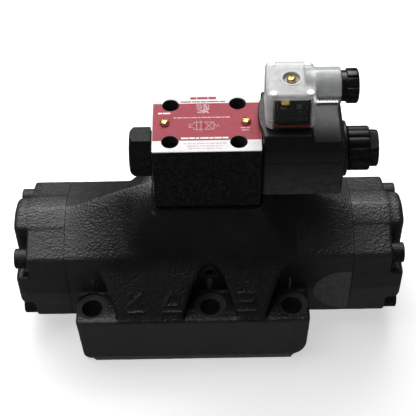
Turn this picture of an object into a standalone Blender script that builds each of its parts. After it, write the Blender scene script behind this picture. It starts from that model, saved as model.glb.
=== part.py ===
"""Two-stage solenoid directional control valve.

A cast main stage with an ISO 4401-08 base carries a small pilot valve with one solenoid.
Frame: +Z up, X along both spools, Z = 0 at the mounting face, X = Y = 0 at the pressure port's
column.  Lengths below are in millimetres and become metres when a mesh is made.
"""
import math

import bmesh
import bpy
from mathutils import Matrix, Vector

MM = 0.001
GAP = 0.3                       # clearance between neighbouring pieces

# main stage
BODY_HALF = 92.3                # half length of the casting between the end covers
MAIN_Z = 43.5                   # height of the main spool's axis
SIDE_Y = 34.8                   # half width of the barrel
CREASE = (33.5, 75.5)           # where the barrel's side turns into its sloping top
RIDGE_Z = 88.0                  # top of the barrel at the covers
BOTTOM_Z = 11.5                 # underside of the barrel beyond the base
BASE_Y = 59.85                  # half width of the base
BASE_TOP = 42.0
SEAT_Z = 39.8                   # spot faces of the mounting holes
PAD_Z = 111.8                   # pilot pad
PAD_X, PAD_Y = 34.3, 26.0
BORE_R = 14.0
CHAMBER_R = 21.0
PITCH = 23.8                    # spacing of the chambers
MOUNT_R = 6.75                  # holes for M12 screws
MOUNT_HOLES = ((-77.0, -46.05), (0.0, -46.05), (53.2, -46.05),
               (-77.0, 46.05), (-23.8, 46.05), (53.2, 46.05))
MAIN_PORTS = {"p": (0.0, 28.55), "a": (-23.8, -28.55), "b": (23.8, -28.55), "t": (-47.6, 28.55)}
SIDE_PORTS = {"x": (-59.5, -26.95), "y": (35.7, 27.05), "l": (-71.4, 0.0)}
DOWEL_HOLES = ((17.5, 50.85), (-47.6, -46.05))
CAP_END = 126.0                 # outer face of the end covers
CAP_SEAT = 116.8                # floor of the corner notches that take the screw heads
CAP_BOLT = (26.0, 24.0)         # screw pattern about the spool axis

# pilot stage
PILOT_X = (-32.4, 32.5)
PILOT_Y = 23.9
PILOT_TOP = 160.3
PILOT_Z = 137.6                 # height of the pilot spool's axis
PILOT_BORE = 6.0
PILOT_CHAMBERS = (-17.5, -8.8, 0.0, 8.7, 17.5)
PILOT_BOLTS = ((-21.5, -15.5), (-21.5, 15.5), (19.0, -16.25), (19.0, 16.25))
PILOT_PORTS = {"p": (0.0, 10.4), "t": (0.0, -10.4), "a": (-8.8, 0.0), "b": (8.7, 0.0)}
PILOT_BOLT_SEAT = 144.0
PILOT_BOLT_SINK = 5.1           # radius of the wells round the pilot screws
PLATE_TOP = 161.2
PLATE_SCREWS = {"left": (-24.9, 0.2), "right": (23.7, 0.2)}
PILOT_STROKE = 3.6

# solenoid and connector
COIL_X = (32.9, 82.0)
COIL_HALF = 20.3
TURRET_X = (30.6, 62.6)
TURRET_TOP = 168.0
PLUG_C = (49.3, 0.0)            # centre of the connector
PLUG_X = (34.4, 63.0)
PLUG_Y = 15.6
PLUG_Z = (170.0, 195.6)
PLUG_RECESS = 193.6             # seat of the connector's screw
GLAND = (1.5, 187.6)            # y and z of the cable gland's axis
NECK = (77.6, 11.3)             # end and radius of the connector's neck
BLOCK_TOP = 190.4               # top of the terminal block
LAMP = (45.4, -11.0, 186.8)     # foot of the lamp, in a notch of the block and the board


def clear_scene():
    for obj in list(bpy.data.objects):
        bpy.data.objects.remove(obj, do_unlink=True)


def material(name, colour, roughness, metallic):
    mat = bpy.data.materials.new(name)
    mat.use_nodes = True
    shader = mat.node_tree.nodes["Principled BSDF"]
    shader.inputs["Base Color"].default_value = (*colour, 1.0)
    shader.inputs["Roughness"].default_value = roughness
    shader.inputs["Metallic"].default_value = metallic
    mat.diffuse_color = (*colour, 1.0)
    return mat


def from_bmesh(bm, name="tool"):
    bmesh.ops.recalc_face_normals(bm, faces=bm.faces)
    mesh = bpy.data.meshes.new(name)
    bm.to_mesh(mesh)
    bm.free()
    obj = bpy.data.objects.new(name, mesh)
    bpy.context.scene.collection.objects.link(obj)
    return obj


def box(x0, x1, y0, y1, z0, z1):
    """Plain block between two corners, in mm."""
    bm = bmesh.new()
    bmesh.ops.create_cube(bm, size=1.0)
    for v in bm.verts:
        v.co = Vector(((x0 + x1) / 2 + v.co.x * (x1 - x0), (y0 + y1) / 2 + v.co.y * (y1 - y0),
                       (z0 + z1) / 2 + v.co.z * (z1 - z0))) * MM
    return from_bmesh(bm)


def rounded_box(x0, x1, y0, y1, z0, z1, radius, top=0.0, segments=3):
    """Block with rounded upright edges and, if asked, a rounded upper rim."""
    obj = box(x0, x1, y0, y1, z0, z1)
    bm = bmesh.new()
    bm.from_mesh(obj.data)
    upright = [e for e in bm.edges if abs(e.verts[0].co.z - e.verts[1].co.z) > 1e-6]
    bmesh.ops.bevel(bm, geom=upright, offset=radius * MM, segments=segments, affect="EDGES", profile=0.5)
    if top > 0:
        high = max(v.co.z for v in bm.verts)
        rim = [e for e in bm.edges if all(abs(v.co.z - high) < 1e-7 for v in e.verts)]
        bmesh.ops.bevel(bm, geom=rim, offset=top * MM, segments=2, affect="EDGES", profile=0.5)
    bm.to_mesh(obj.data)
    bm.free()
    return obj


AXES = {"X": (Vector((1, 0, 0)), Vector((0, 1, 0)), Vector((0, 0, 1))),
        "Y": (Vector((0, 1, 0)), Vector((0, 0, 1)), Vector((1, 0, 0))),
        "Z": (Vector((0, 0, 1)), Vector((1, 0, 0)), Vector((0, 1, 0)))}


def turned(profile, axis, centre, segments=24, phase=0.0):
    """Body of revolution.  profile is a list of (position along the axis, radius); it runs either
    from the axis to the axis, or round a closed loop that stays clear of the axis."""
    along, side, other = AXES[axis]
    centre = Vector(centre)
    closed_loop = min(r for _, r in profile) > 1e-6
    bm = bmesh.new()
    rings = []
    for pos, radius in profile:
        if radius < 1e-6:
            rings.append([bm.verts.new((centre + along * pos) * MM)])
            continue
        ring = []
        for k in range(segments):
            a = 2 * math.pi * (k + phase) / segments
            arm = side * math.cos(a) + other * math.sin(a)
            ring.append(bm.verts.new((centre + along * pos + arm * radius) * MM))
        rings.append(ring)
    count = len(rings)
    for i in range(count if closed_loop else count - 1):
        lower, upper = rings[i], rings[(i + 1) % count]
        for k in range(segments):
            n = (k + 1) % segments
            if len(lower) == 1 and len(upper) > 1:
                bm.faces.new((lower[0], upper[n], upper[k]))
            elif len(upper) == 1 and len(lower) > 1:
                bm.faces.new((lower[k], lower[n], upper[0]))
            elif len(lower) > 1:
                bm.faces.new((lower[k], lower[n], upper[n], upper[k]))
    return from_bmesh(bm)


def rod(axis, centre, start, end, radius, segments=24, phase=0.0):
    return turned([(start, 0), (start, radius), (end, radius), (end, 0)], axis, centre, segments, phase)


def drill(axis, centre, steps, segments=20, phase=0.3):
    """Stepped hole: steps lists (start, end, radius) one after the other along the axis."""
    profile = [(steps[0][0], 0)]
    for start, end, radius in steps:
        profile += [(start, radius), (end, radius)]
    profile.append((steps[-1][1], 0))
    return turned(profile, axis, centre, segments, phase)


def tube(axis, centre, start, end, outer, inner, segments=24, chamfer=0.0):
    c = chamfer
    if c:
        loop = [(start, inner), (start, outer - c), (start + c, outer), (end - c, outer), (end, outer - c),
                (end, inner)]
    else:
        loop = [(start, inner), (start, outer), (end, outer), (end, inner)]
    return turned(loop, axis, centre, segments)


def prism(points, axis, start, end):
    """Straight extrusion.  The outline lists (y, z) for axis X, (x, z) for Y and (x, y) for Z."""
    def place(p, q, pos):
        return {"X": (pos, p, q), "Y": (p, pos, q), "Z": (p, q, pos)}[axis]
    bm = bmesh.new()
    first = [bm.verts.new(Vector(place(p, q, start)) * MM) for p, q in points]
    last = [bm.verts.new(Vector(place(p, q, end)) * MM) for p, q in points]
    count = len(points)
    bm.faces.new(first)
    bm.faces.new(list(reversed(last)))
    for k in range(count):
        n = (k + 1) % count
        bm.faces.new((first[k], last[k], last[n], first[n]))
    return from_bmesh(bm)


def hexagon(across_flats, cy, cz, turn=0.0):
    r = across_flats / math.sqrt(3)
    return [(cy + r * math.sin(math.radians(turn + 60 * k)), cz + r * math.cos(math.radians(turn + 60 * k)))
            for k in range(6)]


def boolean(target, tool, operation="DIFFERENCE"):
    mod = target.modifiers.new("boolean", "BOOLEAN")
    mod.object, mod.operation, mod.solver = tool, operation, "EXACT"
    graph = bpy.context.evaluated_depsgraph_get()
    mesh = bpy.data.meshes.new_from_object(target.evaluated_get(graph))
    target.modifiers.clear()
    target.data = mesh
    bpy.data.objects.remove(tool, do_unlink=True)
    return target


def cut(target, *tools):
    for tool in tools:
        boolean(target, tool)
    return target


def add(target, *tools):
    for tool in tools:
        boolean(target, tool, "UNION")
    return target


def finish(obj, name, mat, origin=(0, 0, 0), angle=35):
    """Name the piece, move its origin, give it its material and shade it."""
    obj.name = name
    obj.data.name = name
    shift = Vector(origin) * MM
    obj.data.transform(Matrix.Translation(-shift))
    obj.location = shift
    obj.data.materials.clear()
    obj.data.materials.append(mat)
    obj.data.shade_smooth()
    obj.data.set_sharp_from_angle(angle=math.radians(angle))
    return obj


def ring_seal(name, axis, centre, start, end, inner, outer, mat, segments=16):
    """Seal ring squeezed between two faces: a flattened round section."""
    mid, half = (inner + outer) / 2, (outer - inner) / 2
    loop = []
    for k in range(4):
        a = math.radians(45 + 90 * k)
        loop.append(((start + end) / 2 + math.sin(a) * (end - start) * 0.7, mid + math.cos(a) * half * 1.4))
    obj = turned(loop, axis, centre, segments)
    return finish(obj, name, mat, centre)


def helix_tube(start, end, centre, mean, wire, turns, per_turn=12, sides=6):
    """Compression spring along X with closed ends."""
    steps = int(turns * per_turn)
    dead = 0.9                                 # closed turns at each end
    path = []
    for i in range(steps + 1):
        turn = turns * i / steps
        active = min(max(turn - dead, 0), turns - 2 * dead) / (turns - 2 * dead)
        lead = wire * 1.06 * (min(turn, dead) + max(turn - (turns - dead), 0))
        span = (end - start - wire) - 2 * dead * wire * 1.06
        pos = start + wire / 2 + lead + active * span
        a = 2 * math.pi * turn
        path.append(Vector((pos, centre[1] + mean * math.cos(a), centre[2] + mean * math.sin(a))))
    bm = bmesh.new()
    rings = []
    for i, point in enumerate(path):
        tangent = (path[min(i + 1, steps)] - path[max(i - 1, 0)]).normalized()
        radial = Vector((0, point.y - centre[1], point.z - centre[2])).normalized()
        up = tangent.cross(radial).normalized()
        radial = up.cross(tangent)
        rings.append([bm.verts.new((point + (radial * math.cos(2 * math.pi * k / sides)
                                             + up * math.sin(2 * math.pi * k / sides)) * wire / 2) * MM)
                      for k in range(sides)])
    bm.faces.new(rings[0])
    bm.faces.new(list(reversed(rings[-1])))
    for a, b in zip(rings, rings[1:]):
        for k in range(sides):
            n = (k + 1) % sides
            bm.faces.new((a[k], b[k], b[n], a[n]))
    return from_bmesh(bm)


# ---------------------------------------------------------------- main stage

def barrel_section(t):
    """Outline (y, z) of the casting's barrel and shoulder at a distance t from the middle."""
    stations = ((0.0, 111.2), (36.0, 111.2), (45.0, 108.2), (62.4, 101.0), (82.6, 91.4), (200.0, 88.0))
    ridge = RIDGE_Z
    for (t0, z0), (t1, z1) in zip(stations, stations[1:]):
        if t0 <= t <= t1:
            t1 = min(t1, BODY_HALF)
            ridge = z0 + (z1 - z0) * min((t - t0) / (t1 - t0), 1.0)
            break
    drop = ridge - CREASE[1]
    slope_y = 24.0
    slope_z = ridge - drop * slope_y / CREASE[0]
    flare = max(0.0, min((57.0 - t) / (57.0 - 34.5), 1.0)) ** 1.6
    corner_y = slope_y + (25.6 - slope_y) * flare
    corner_z = slope_z + (ridge - slope_z) * flare
    crown_y = 7.0 + (18.0 - 7.0) * flare
    crown_z = ridge - (drop * crown_y / CREASE[0]) * (1 - flare)
    low_y = CREASE[0] + 0.3 * flare
    half = [(0.0, ridge - 0.5 * (1 - flare)), (crown_y, crown_z), (corner_y, corner_z), (low_y, CREASE[1]),
            (SIDE_Y - 0.2, CREASE[1] - 3.0), (SIDE_Y, 60.0), (SIDE_Y - 0.6, 17.0), (SIDE_Y - 2.2, 13.2),
            (SIDE_Y - 6.0, BOTTOM_Z)]
    return half + [(-y, z) for y, z in reversed(half) if y > 0]


def loft(stations):
    bm = bmesh.new()
    rings = [[bm.verts.new(Vector((x, y, z)) * MM) for y, z in barrel_section(abs(x))] for x in stations]
    bm.faces.new(rings[0])
    bm.faces.new(list(reversed(rings[-1])))
    for a, b in zip(rings, rings[1:]):
        count = len(a)
        for k in range(count):
            n = (k + 1) % count
            bm.faces.new((a[k], b[k], b[n], a[n]))
    return from_bmesh(bm)


def arch_cutter(x, side):
    """Cuts the pocket over a mounting hole into the skirt: a pointed arch seen from the front."""
    half = ((16.9, BASE_TOP), (16.0, 45.0), (12.9, 52.0), (9.3, 60.0), (5.6, 66.0), (2.4, 69.5))
    points = [(x + w, z) for w, z in half] + [(x, 70.6)] + [(x - w, z) for w, z in reversed(half)]
    start, end = (-80.0, -34.3) if side < 0 else (34.3, 80.0)
    return prism(points, "Y", start, end)


def make_main_body(mat):
    reach = [92.3, 82.6, 70.0, 58.0, 51.0, 46.0, 41.0, 37.5, 34.5]
    body = loft([-t for t in reach] + list(reversed(reach)))
    base = prism([(-86.9, BASE_TOP), (-86.0, 20.0), (-85.3, 8.0), (-84.2, 3.2), (-81.0, 0.0), (53.8, 0.0),
                  (58.3, 1.6), (61.6, 4.8), (63.2, 10.0), (63.7, 20.0), (64.4, BASE_TOP)],
                 "Y", -BASE_Y, BASE_Y)
    add(body, base)
    for side in (-1, 1):
        edge = side * BASE_Y
        skirt = prism([(edge, 30.0), (edge, BASE_TOP), (side * 34.0, 70.5), (side * 20.0, 70.5),
                       (side * 20.0, 30.0)], "X", -77.0, 53.2)
        add(body, skirt)
    pad = rounded_box(-PAD_X, PAD_X, -PAD_Y, PAD_Y, 100.0, PAD_Z, 5.0, 0.7)
    add(body, pad)
    for x, y in MOUNT_HOLES:
        cut(body, arch_cutter(x, y))
    for x, y in MOUNT_HOLES:
        cut(body, drill("Z", (x, y, 0), ((-1.0, SEAT_Z, MOUNT_R), (SEAT_Z, 66.0, 10.6)), 18))
    # main bore, its ring chambers and the passage that joins the two outer ones
    steps, pos = [], -100.0
    for k in range(-2, 3):
        steps += [(pos, k * PITCH - 6.5, BORE_R), (k * PITCH - 6.5, k * PITCH + 6.5, CHAMBER_R)]
        pos = k * PITCH + 6.5
    steps.append((pos, 100.0, BORE_R))
    cut(body, drill("X", (0, 0, MAIN_Z), steps, 18))
    cut(body, rod("X", (0, -8.0, 71.0), -2 * PITCH, 2 * PITCH, 5.0, 8, 0.3))
    for side in (-1, 1):
        cut(body, rod("Z", (side * 2 * PITCH, -8.0, 0), 55.0, 71.2, 4.4, 8, 0.3))
    # ports in the base face, each with a counterbore for its seal ring
    for x, y in MAIN_PORTS.values():
        cut(body, drill("Z", (x, y, 0), ((-1.0, 3.0, 16.5), (3.0, 35.0, 11.75)), 16, 0.2))
    for x, y in SIDE_PORTS.values():
        cut(body, drill("Z", (x, y, 0), ((-1.0, 2.5, 7.8), (2.5, 20.0 if abs(y) < 1 else 58.0, 3.5)), 10))
    for x, y in DOWEL_HOLES:
        cut(body, rod("Z", (x, y, 0), -1.0, 9.0, 3.75, 10, 0.3))
    # pilot pad: ports, control galleries to both ends, screw holes
    for side, x in ((-1, PILOT_PORTS["a"][0]), (1, PILOT_PORTS["b"][0])):
        cut(body, rod("Z", (x, 0, 0), 81.3, 120.0, 2.9, 8, 0.3),
            rod("X", (0, 0, 81.5), min(side * 100.0, x), max(side * 100.0, x), 2.4, 8, 0.2))
    cut(body, rod("Z", (*PILOT_PORTS["p"], 0), 58.2, 120.0, 2.9, 8, 0.3),
        rod("Z", (*PILOT_PORTS["t"], 0), 71.3, 120.0, 2.9, 8, 0.3))
    for x, y in PILOT_BOLTS:
        cut(body, rod("Z", (x, y, 0), 97.5, 120.0, 2.9, 8, 0.3))
    # cover screws, front gallery with its screw plug, ground spot beside the right cover
    for side in (-1, 1):
        for sy in (-1, 1):
            for sz in (-1, 1):
                ends = (75.0, 100.0) if side > 0 else (-100.0, -75.0)
                cut(body, rod("X", (0, sy * CAP_BOLT[0], MAIN_Z + sz * CAP_BOLT[1]), *ends, 4.7, 8, 0.3))
    cut(body, drill("Y", (0, 0, 61.0), ((-40.0, -24.0, 5.3), (-24.0, -9.0, 2.6)), 12))
    cut(body, rod("Y", (88.0, 0, 39.0), -40.0, -34.45, 20.0, 22, 0.3))
    return finish(body, "main_body", mat, (0, 0, 0), 32)


def cap_outline(inset=0.0):
    """Outline (y, z) of an end cover, drawn in from the barrel's outline by inset."""
    return [(y * (1 - inset / 35.0), 46.0 + (z - 46.0) * (1 - inset / 38.0))
            for y, z in barrel_section(BODY_HALF)]


def make_end_cap(name, side, mat, depth):
    face = BODY_HALF + GAP
    flange = prism(cap_outline(), "X", face * side, CAP_SEAT * side)
    nose = prism(cap_outline(), "X", (CAP_SEAT - 1) * side, (CAP_END - 3.4) * side)
    tip = prism(cap_outline(3.0), "X", (CAP_END - 6) * side, CAP_END * side)
    middle = prism(cap_outline(1.1), "X", (CAP_END - 6) * side, (CAP_END - 1.3) * side)
    add(nose, middle, tip)
    cap = add(flange, nose)
    for sy in (-1, 1):
        for sz in (-1, 1):
            y0, y1 = sorted((sy * 13.7, sy * 60.0))
            z0, z1 = (MAIN_Z + 13.2, 120.0) if sz > 0 else (-20.0, MAIN_Z - 13.2)
            x0, x1 = sorted((CAP_SEAT * side, 140.0 * side))
            notch = box(x0, x1, y0, y1, z0, z1)
            cut(cap, notch)
            ends = sorted((80.0 * side, 130.0 * side))
            cut(cap, rod("X", (0, sy * CAP_BOLT[0], MAIN_Z + sz * CAP_BOLT[1]), *ends, 4.4, 10, 0.3))
    ends = sorted((80.0 * side, depth * side))
    cut(cap, rod("X", (0, 0, MAIN_Z), *ends, 16.0, 18, 0.3))
    ring = tube("X", (0, 0, MAIN_Z), *sorted((80.0 * side, (face + 2.6) * side)), 22.4, 18.2, 18)
    cut(cap, ring)
    riser = depth - 4.0 if depth < 105 else 104.0
    cut(cap, rod("X", (0, 0, 81.5), *sorted((80.0 * side, (riser + 1.5) * side)), 2.4, 8, 0.3),
        rod("Z", (riser * side, 0, 0), MAIN_Z + 12, 81.3, 2.4, 8, 0.1))
    return finish(cap, name, mat, (face * side, 0, MAIN_Z), 32)


def socket_screw(length, shank, head_r, head_h, across):
    """Socket-head screw along -Z: head from 0 to head_h, shank down to -length."""
    c = head_r * 0.12
    body = turned([(-length, 0), (-length, shank), (0, shank), (0, head_r), (head_h - c, head_r),
                   (head_h, head_r - c), (head_h, 0)], "Z", (0, 0, 0), 14)
    return cut(body, prism(hexagon(across, 0, 0), "Z", head_h * 0.45, head_h + 1))


def place_copy(source, name, location, rotation):
    """Named copy of a finished piece, with the same mesh."""
    obj = bpy.data.objects.new(name, source.data)
    bpy.context.scene.collection.objects.link(obj)
    obj.location = Vector(location) * MM
    obj.rotation_euler = rotation
    return obj


def make_cap_bolts(mat):
    source = finish(socket_screw(40.0, 4.0, 6.5, 8.0, 6.0), "cap_bolt_pattern", mat)
    for side, label in ((-1, "left"), (1, "right")):
        index = 0
        for sy in (-1, 1):
            for sz in (1, -1):
                index += 1
                place_copy(source, f"{label}_cap_bolt_{index}",
                           ((CAP_SEAT + GAP) * side, sy * CAP_BOLT[0], MAIN_Z + sz * CAP_BOLT[1]),
                           (0, side * math.pi / 2, 0))
    bpy.data.objects.remove(source, do_unlink=True)


def make_main_spool(mat):
    """Four lands; it rests 6 mm towards +X, pushed by the spring in the left cover."""
    shift, land, neck, stub = 6.0, 13.7, 8.6, 5.0
    edges = [(-82.0, -57.0), (-31.3, -16.3), (16.3, 31.3), (57.0, 82.0)]
    profile = [(-114.7 + shift, 0), (-114.7 + shift, stub), (-82.0 + shift, stub)]
    for index, (x0, x1) in enumerate(edges):
        profile += [(x0 + shift, land), (x1 + shift, land)]
        if index < 3:
            profile += [(x1 + 2.0 + shift, neck), (edges[index + 1][0] - 2.0 + shift, neck)]
    profile += [(82.0 + shift, stub), (94.6 + shift, stub), (94.6 + shift, 0)]
    spool = turned(profile, "X", (0, 0, MAIN_Z), 20)
    return finish(spool, "main_spool", mat, (shift, 0, MAIN_Z))


def make_main_stage(paint, steel, spring_steel, rubber, dark_steel):
    make_main_body(paint)
    make_end_cap("left_end_cap", -1, paint, 121.0)
    make_end_cap("right_end_cap", 1, paint, 101.0)
    make_cap_bolts(dark_steel)
    make_main_spool(steel)
    # the seat sits on the spool's stub; the spring runs from it to the floor of the left cover
    seat = turned([(-82.0, 5.3), (-82.0, 8.4), (-79.6, 8.4), (-79.6, 12.8), (-76.6, 12.8), (-76.6, 5.3)],
                  "X", (0, 0, MAIN_Z), 16)
    finish(seat, "main_spring_seat", steel, (-76.6, 0, MAIN_Z))
    spring = helix_tube(-120.7, -79.9, (0, 0, MAIN_Z), 10.6, 2.6, 7.0, 10, 5)
    finish(spring, "main_spring", spring_steel, (-120.7, 0, MAIN_Z), 60)
    for side, label in ((-1, "left"), (1, "right")):
        x0, x1 = sorted(((BODY_HALF + 0.5) * side, (BODY_HALF + 2.6) * side))
        ring_seal(f"{label}_cap_seal", "X", (0, 0, MAIN_Z), x0, x1, 18.6, 22.0, rubber, 18)
    for port, (x, y) in MAIN_PORTS.items():
        ring_seal(f"base_seal_{port}", "Z", (x, y, 0), 0.2, 2.7, 12.3, 16.1, rubber)
    for port, (x, y) in SIDE_PORTS.items():
        ring_seal(f"base_seal_{port}", "Z", (x, y, 0), 0.2, 2.2, 4.6, 7.4, rubber, 10)
    plug = rod("Y", (0, 0, 61.0), -34.6, -27.0, 4.9, 14)
    cut(plug, prism(hexagon(5.0, 0, 61.0), "Y", -40.0, -31.0))
    finish(plug, "gallery_plug", dark_steel, (0, -34.6, 61.0))


# ---------------------------------------------------------------- pilot stage

def make_pilot_body(mat):
    z0 = PAD_Z + GAP
    body = rounded_box(PILOT_X[0], PILOT_X[1], -PILOT_Y, PILOT_Y, z0, PILOT_TOP, 1.6)
    for side in (-1, 1):        # relief along the lower edge, front and back
        y0, y1 = sorted((side * (PILOT_Y - 1.3), side * 40.0))
        cut(body, box(-40, 40, y0, y1, z0 - 2, z0 + 0.9))
    steps, pos = [(-40.0, -23.7, 10.3)], -23.7
    for x in PILOT_CHAMBERS:
        steps += [(pos, x - 2.2, PILOT_BORE), (x - 2.2, x + 2.2, 9.5)]
        pos = x + 2.2
    steps += [(pos, 24.0, PILOT_BORE), (24.0, 40.0, 11.0)]
    cut(body, drill("X", (0, 0, PILOT_Z), steps, 14))
    for x, y in PILOT_BOLTS:
        steps = ((100.0, PILOT_BOLT_SEAT, 2.8), (PILOT_BOLT_SEAT, 170.0, PILOT_BOLT_SINK))
        cut(body, drill("Z", (x, y, 0), steps, 14))
    for port, top, radius in (("p", PILOT_Z - 1.1, 2.9), ("t", 123.3, 2.9),
                              ("a", 130.4, 1.9), ("b", 130.4, 1.9)):
        cut(body, drill("Z", (*PILOT_PORTS[port], 0), ((100.0, z0 + 1.7, 4.1), (z0 + 1.7, top, radius)), 8))
    gallery = box(-19.2, 19.2, -12.2, -8.2, 121.5, 125.5)
    for side in (-1, 1):        # joins the tank port to the two outer chambers
        x0, x1 = sorted((side * 15.7, side * 19.0))
        add(gallery, box(x0, x1, -12.0, -6.9, 124.0, 134.3))
    cut(body, gallery)
    for spot in PLATE_SCREWS.values():
        cut(body, rod("Z", (*spot, 0), 153.0, 170.0, 1.5, 8, 0.3))
    return finish(body, "pilot_body", mat, (0, 0, z0), 32)


def make_nameplate(mat):
    plate = rounded_box(PILOT_X[0] + 0.2, PILOT_X[1] - 0.2, -PILOT_Y + 0.2, PILOT_Y - 0.2,
                        PILOT_TOP + GAP, PLATE_TOP, 1.2, 0.0, 2)
    for x, y in PILOT_BOLTS:
        cut(plate, rod("Z", (x, y, 0), 150.0, 170.0, PILOT_BOLT_SINK, 14, 0.3))
    for spot in PLATE_SCREWS.values():
        cut(plate, rod("Z", (*spot, 0), 150.0, 170.0, 1.6, 8, 0.3))
    return finish(plate, "nameplate", mat, (0, 0, PILOT_TOP + GAP))


def make_pilot_stage(paint, plate, brass, dark_steel, rubber, steel, spring_steel, plug_mat):
    make_pilot_body(paint)
    make_nameplate(plate)
    z = PLATE_TOP + GAP
    for label, spot in PLATE_SCREWS.items():
        screw = turned([(154.0, 0), (154.0, 1.2), (z, 1.2), (z, 3.0), (z + 1.1, 2.9), (z + 1.9, 2.0),
                        (z + 2.2, 0)], "Z", (*spot, 0), 12)
        finish(screw, f"nameplate_screw_{label}", brass, (*spot, z))
    source = finish(socket_screw(44.0, 2.5, 4.25, 5.0, 4.0), "pilot_bolt_pattern", dark_steel)
    for index, (x, y) in enumerate(PILOT_BOLTS, 1):
        place_copy(source, f"pilot_bolt_{index}", (x, y, PILOT_BOLT_SEAT + GAP), (0, 0, 0))
    bpy.data.objects.remove(source, do_unlink=True)
    for port, (x, y) in PILOT_PORTS.items():
        ring_seal(f"pilot_seal_{port}", "Z", (x, y, 0), PAD_Z + 0.25, PAD_Z + 1.75, 3.1, 3.8, rubber, 10)
    # hexagonal end plug with the spring inside it
    axis = (0, 0, PILOT_Z)
    head = prism(hexagon(26.2, 0, PILOT_Z, 40), "X", -46.6, -34.1)
    rim = turned([(-47.0, 0), (-46.6, 13.4), (-44.9, 15.4), (-30.0, 15.4), (-30.0, 0)], "X", axis, 30)
    boolean(head, rim, "INTERSECT")
    add(head, rod("X", axis, -36.0, -24.0, 10.0, 16))
    cut(head, rod("X", axis, -41.0, -20.0, 6.3, 14, 0.3))
    finish(head, "pilot_end_plug", plug_mat, (-34.1, 0, PILOT_Z))
    finish(tube("X", axis, -33.8, -32.7, 12.9, 10.4, 20), "plug_seal", rubber, (-33.8, 0, PILOT_Z))
    # pilot spool, resting 1.8 mm towards the solenoid
    shift, land, neck = PILOT_STROKE / 2, 5.7, 3.4
    edges = [(-23.0, -19.3), (-11.4, -6.2), (6.1, 11.3), (19.3, 22.2)]
    profile = [(edges[0][0] + shift, 0)]
    for i, (x0, x1) in enumerate(edges):
        profile += [(x0 + shift, land), (x1 + shift, land)]
        if i < 3:
            profile += [(x1 + 1.0 + shift, neck), (edges[i + 1][0] - 1.0 + shift, neck)]
    profile += [(edges[3][1] + shift, 0)]
    finish(turned(profile, "X", axis, 14), "pilot_spool", steel, (shift, 0, PILOT_Z))
    seat = turned([(-24.6, 0), (-24.6, 2.8), (-23.4, 2.8), (-23.4, 5.2), (-21.5, 5.2), (-21.5, 0)],
                  "X", axis, 12)
    finish(seat, "pilot_spring_seat", steel, (-21.5, 0, PILOT_Z))
    spring = helix_tube(-40.7, -24.9, axis, 4.2, 1.2, 6.0, 8, 4)
    finish(spring, "pilot_spring", spring_steel, (-40.7, 0, PILOT_Z), 60)


# ---------------------------------------------------------------- solenoid and connector

def make_coil_housing(mat):
    x0, x1 = COIL_X
    low, high = PILOT_Z - COIL_HALF, PILOT_Z + COIL_HALF
    body = rounded_box(x0, x1, -COIL_HALF, COIL_HALF, low, high, 1.5, 0.0, 2)
    turret = rounded_box(x0, TURRET_X[1], -COIL_HALF + 0.3, COIL_HALF - 0.3, high - 3, TURRET_TOP,
                         1.2, 0.0, 2)
    outline = []
    for k in range(9):          # the turret's flange bulges over the nameplate's end
        y = -19.0 + 38.0 * k / 8
        outline.append((TURRET_X[0] + 4.6 * (abs(y) / 19.0) ** 2.4, y))
    outline += [(TURRET_X[1] - 8, 19.0), (TURRET_X[1] - 8, -19.0)]
    flange = prism(outline, "Z", 163.2, TURRET_TOP)
    tray = box(TURRET_X[1] - 1, 79.6, -COIL_HALF, 11.2, high - 3, 163.5)
    add(body, turret, flange, tray)
    axis = (0, 0, PILOT_Z)
    cut(body, drill("X", axis, ((30.0, 77.0, 17.0), (77.0, 90.0, 11.3)), 20))
    for side in (-1, 1):        # parting groove round the coil
        y0, y1 = sorted((side * (COIL_HALF - 0.5), side * (COIL_HALF + 5)))
        cut(body, box(20, 90, y0, y1, 145.3, 146.2))
    cut(body, box(PLUG_C[0] - 10.3, PLUG_C[0] + 10.3, -9.9, 9.9, 163.0, 175.0),
        rod("Z", (*PLUG_C, 0), 158.6, 166.0, 1.8, 10))
    return finish(body, "coil_housing", mat, (x0, 0, PILOT_Z), 32)


def make_lock_nut(mat):
    lobes = []
    for k in range(36):
        a = 2 * math.pi * k / 36
        r = 13.4 + 0.45 * math.cos(12 * a)
        lobes.append((r * math.cos(a), PILOT_Z + r * math.sin(a)))
    nut = prism(lobes, "X", 84.7, 98.6)
    add(nut, prism(hexagon(21.5, 0, PILOT_Z, 10), "X", 97.6, 103.7))
    axis = (0, 0, PILOT_Z)
    cut(nut, drill("X", axis, ((80.0, 99.1, 8.4), (99.1, 110.0, 3.4)), 14))
    return finish(nut, "lock_nut", mat, (84.7, 0, PILOT_Z), 32)


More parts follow.
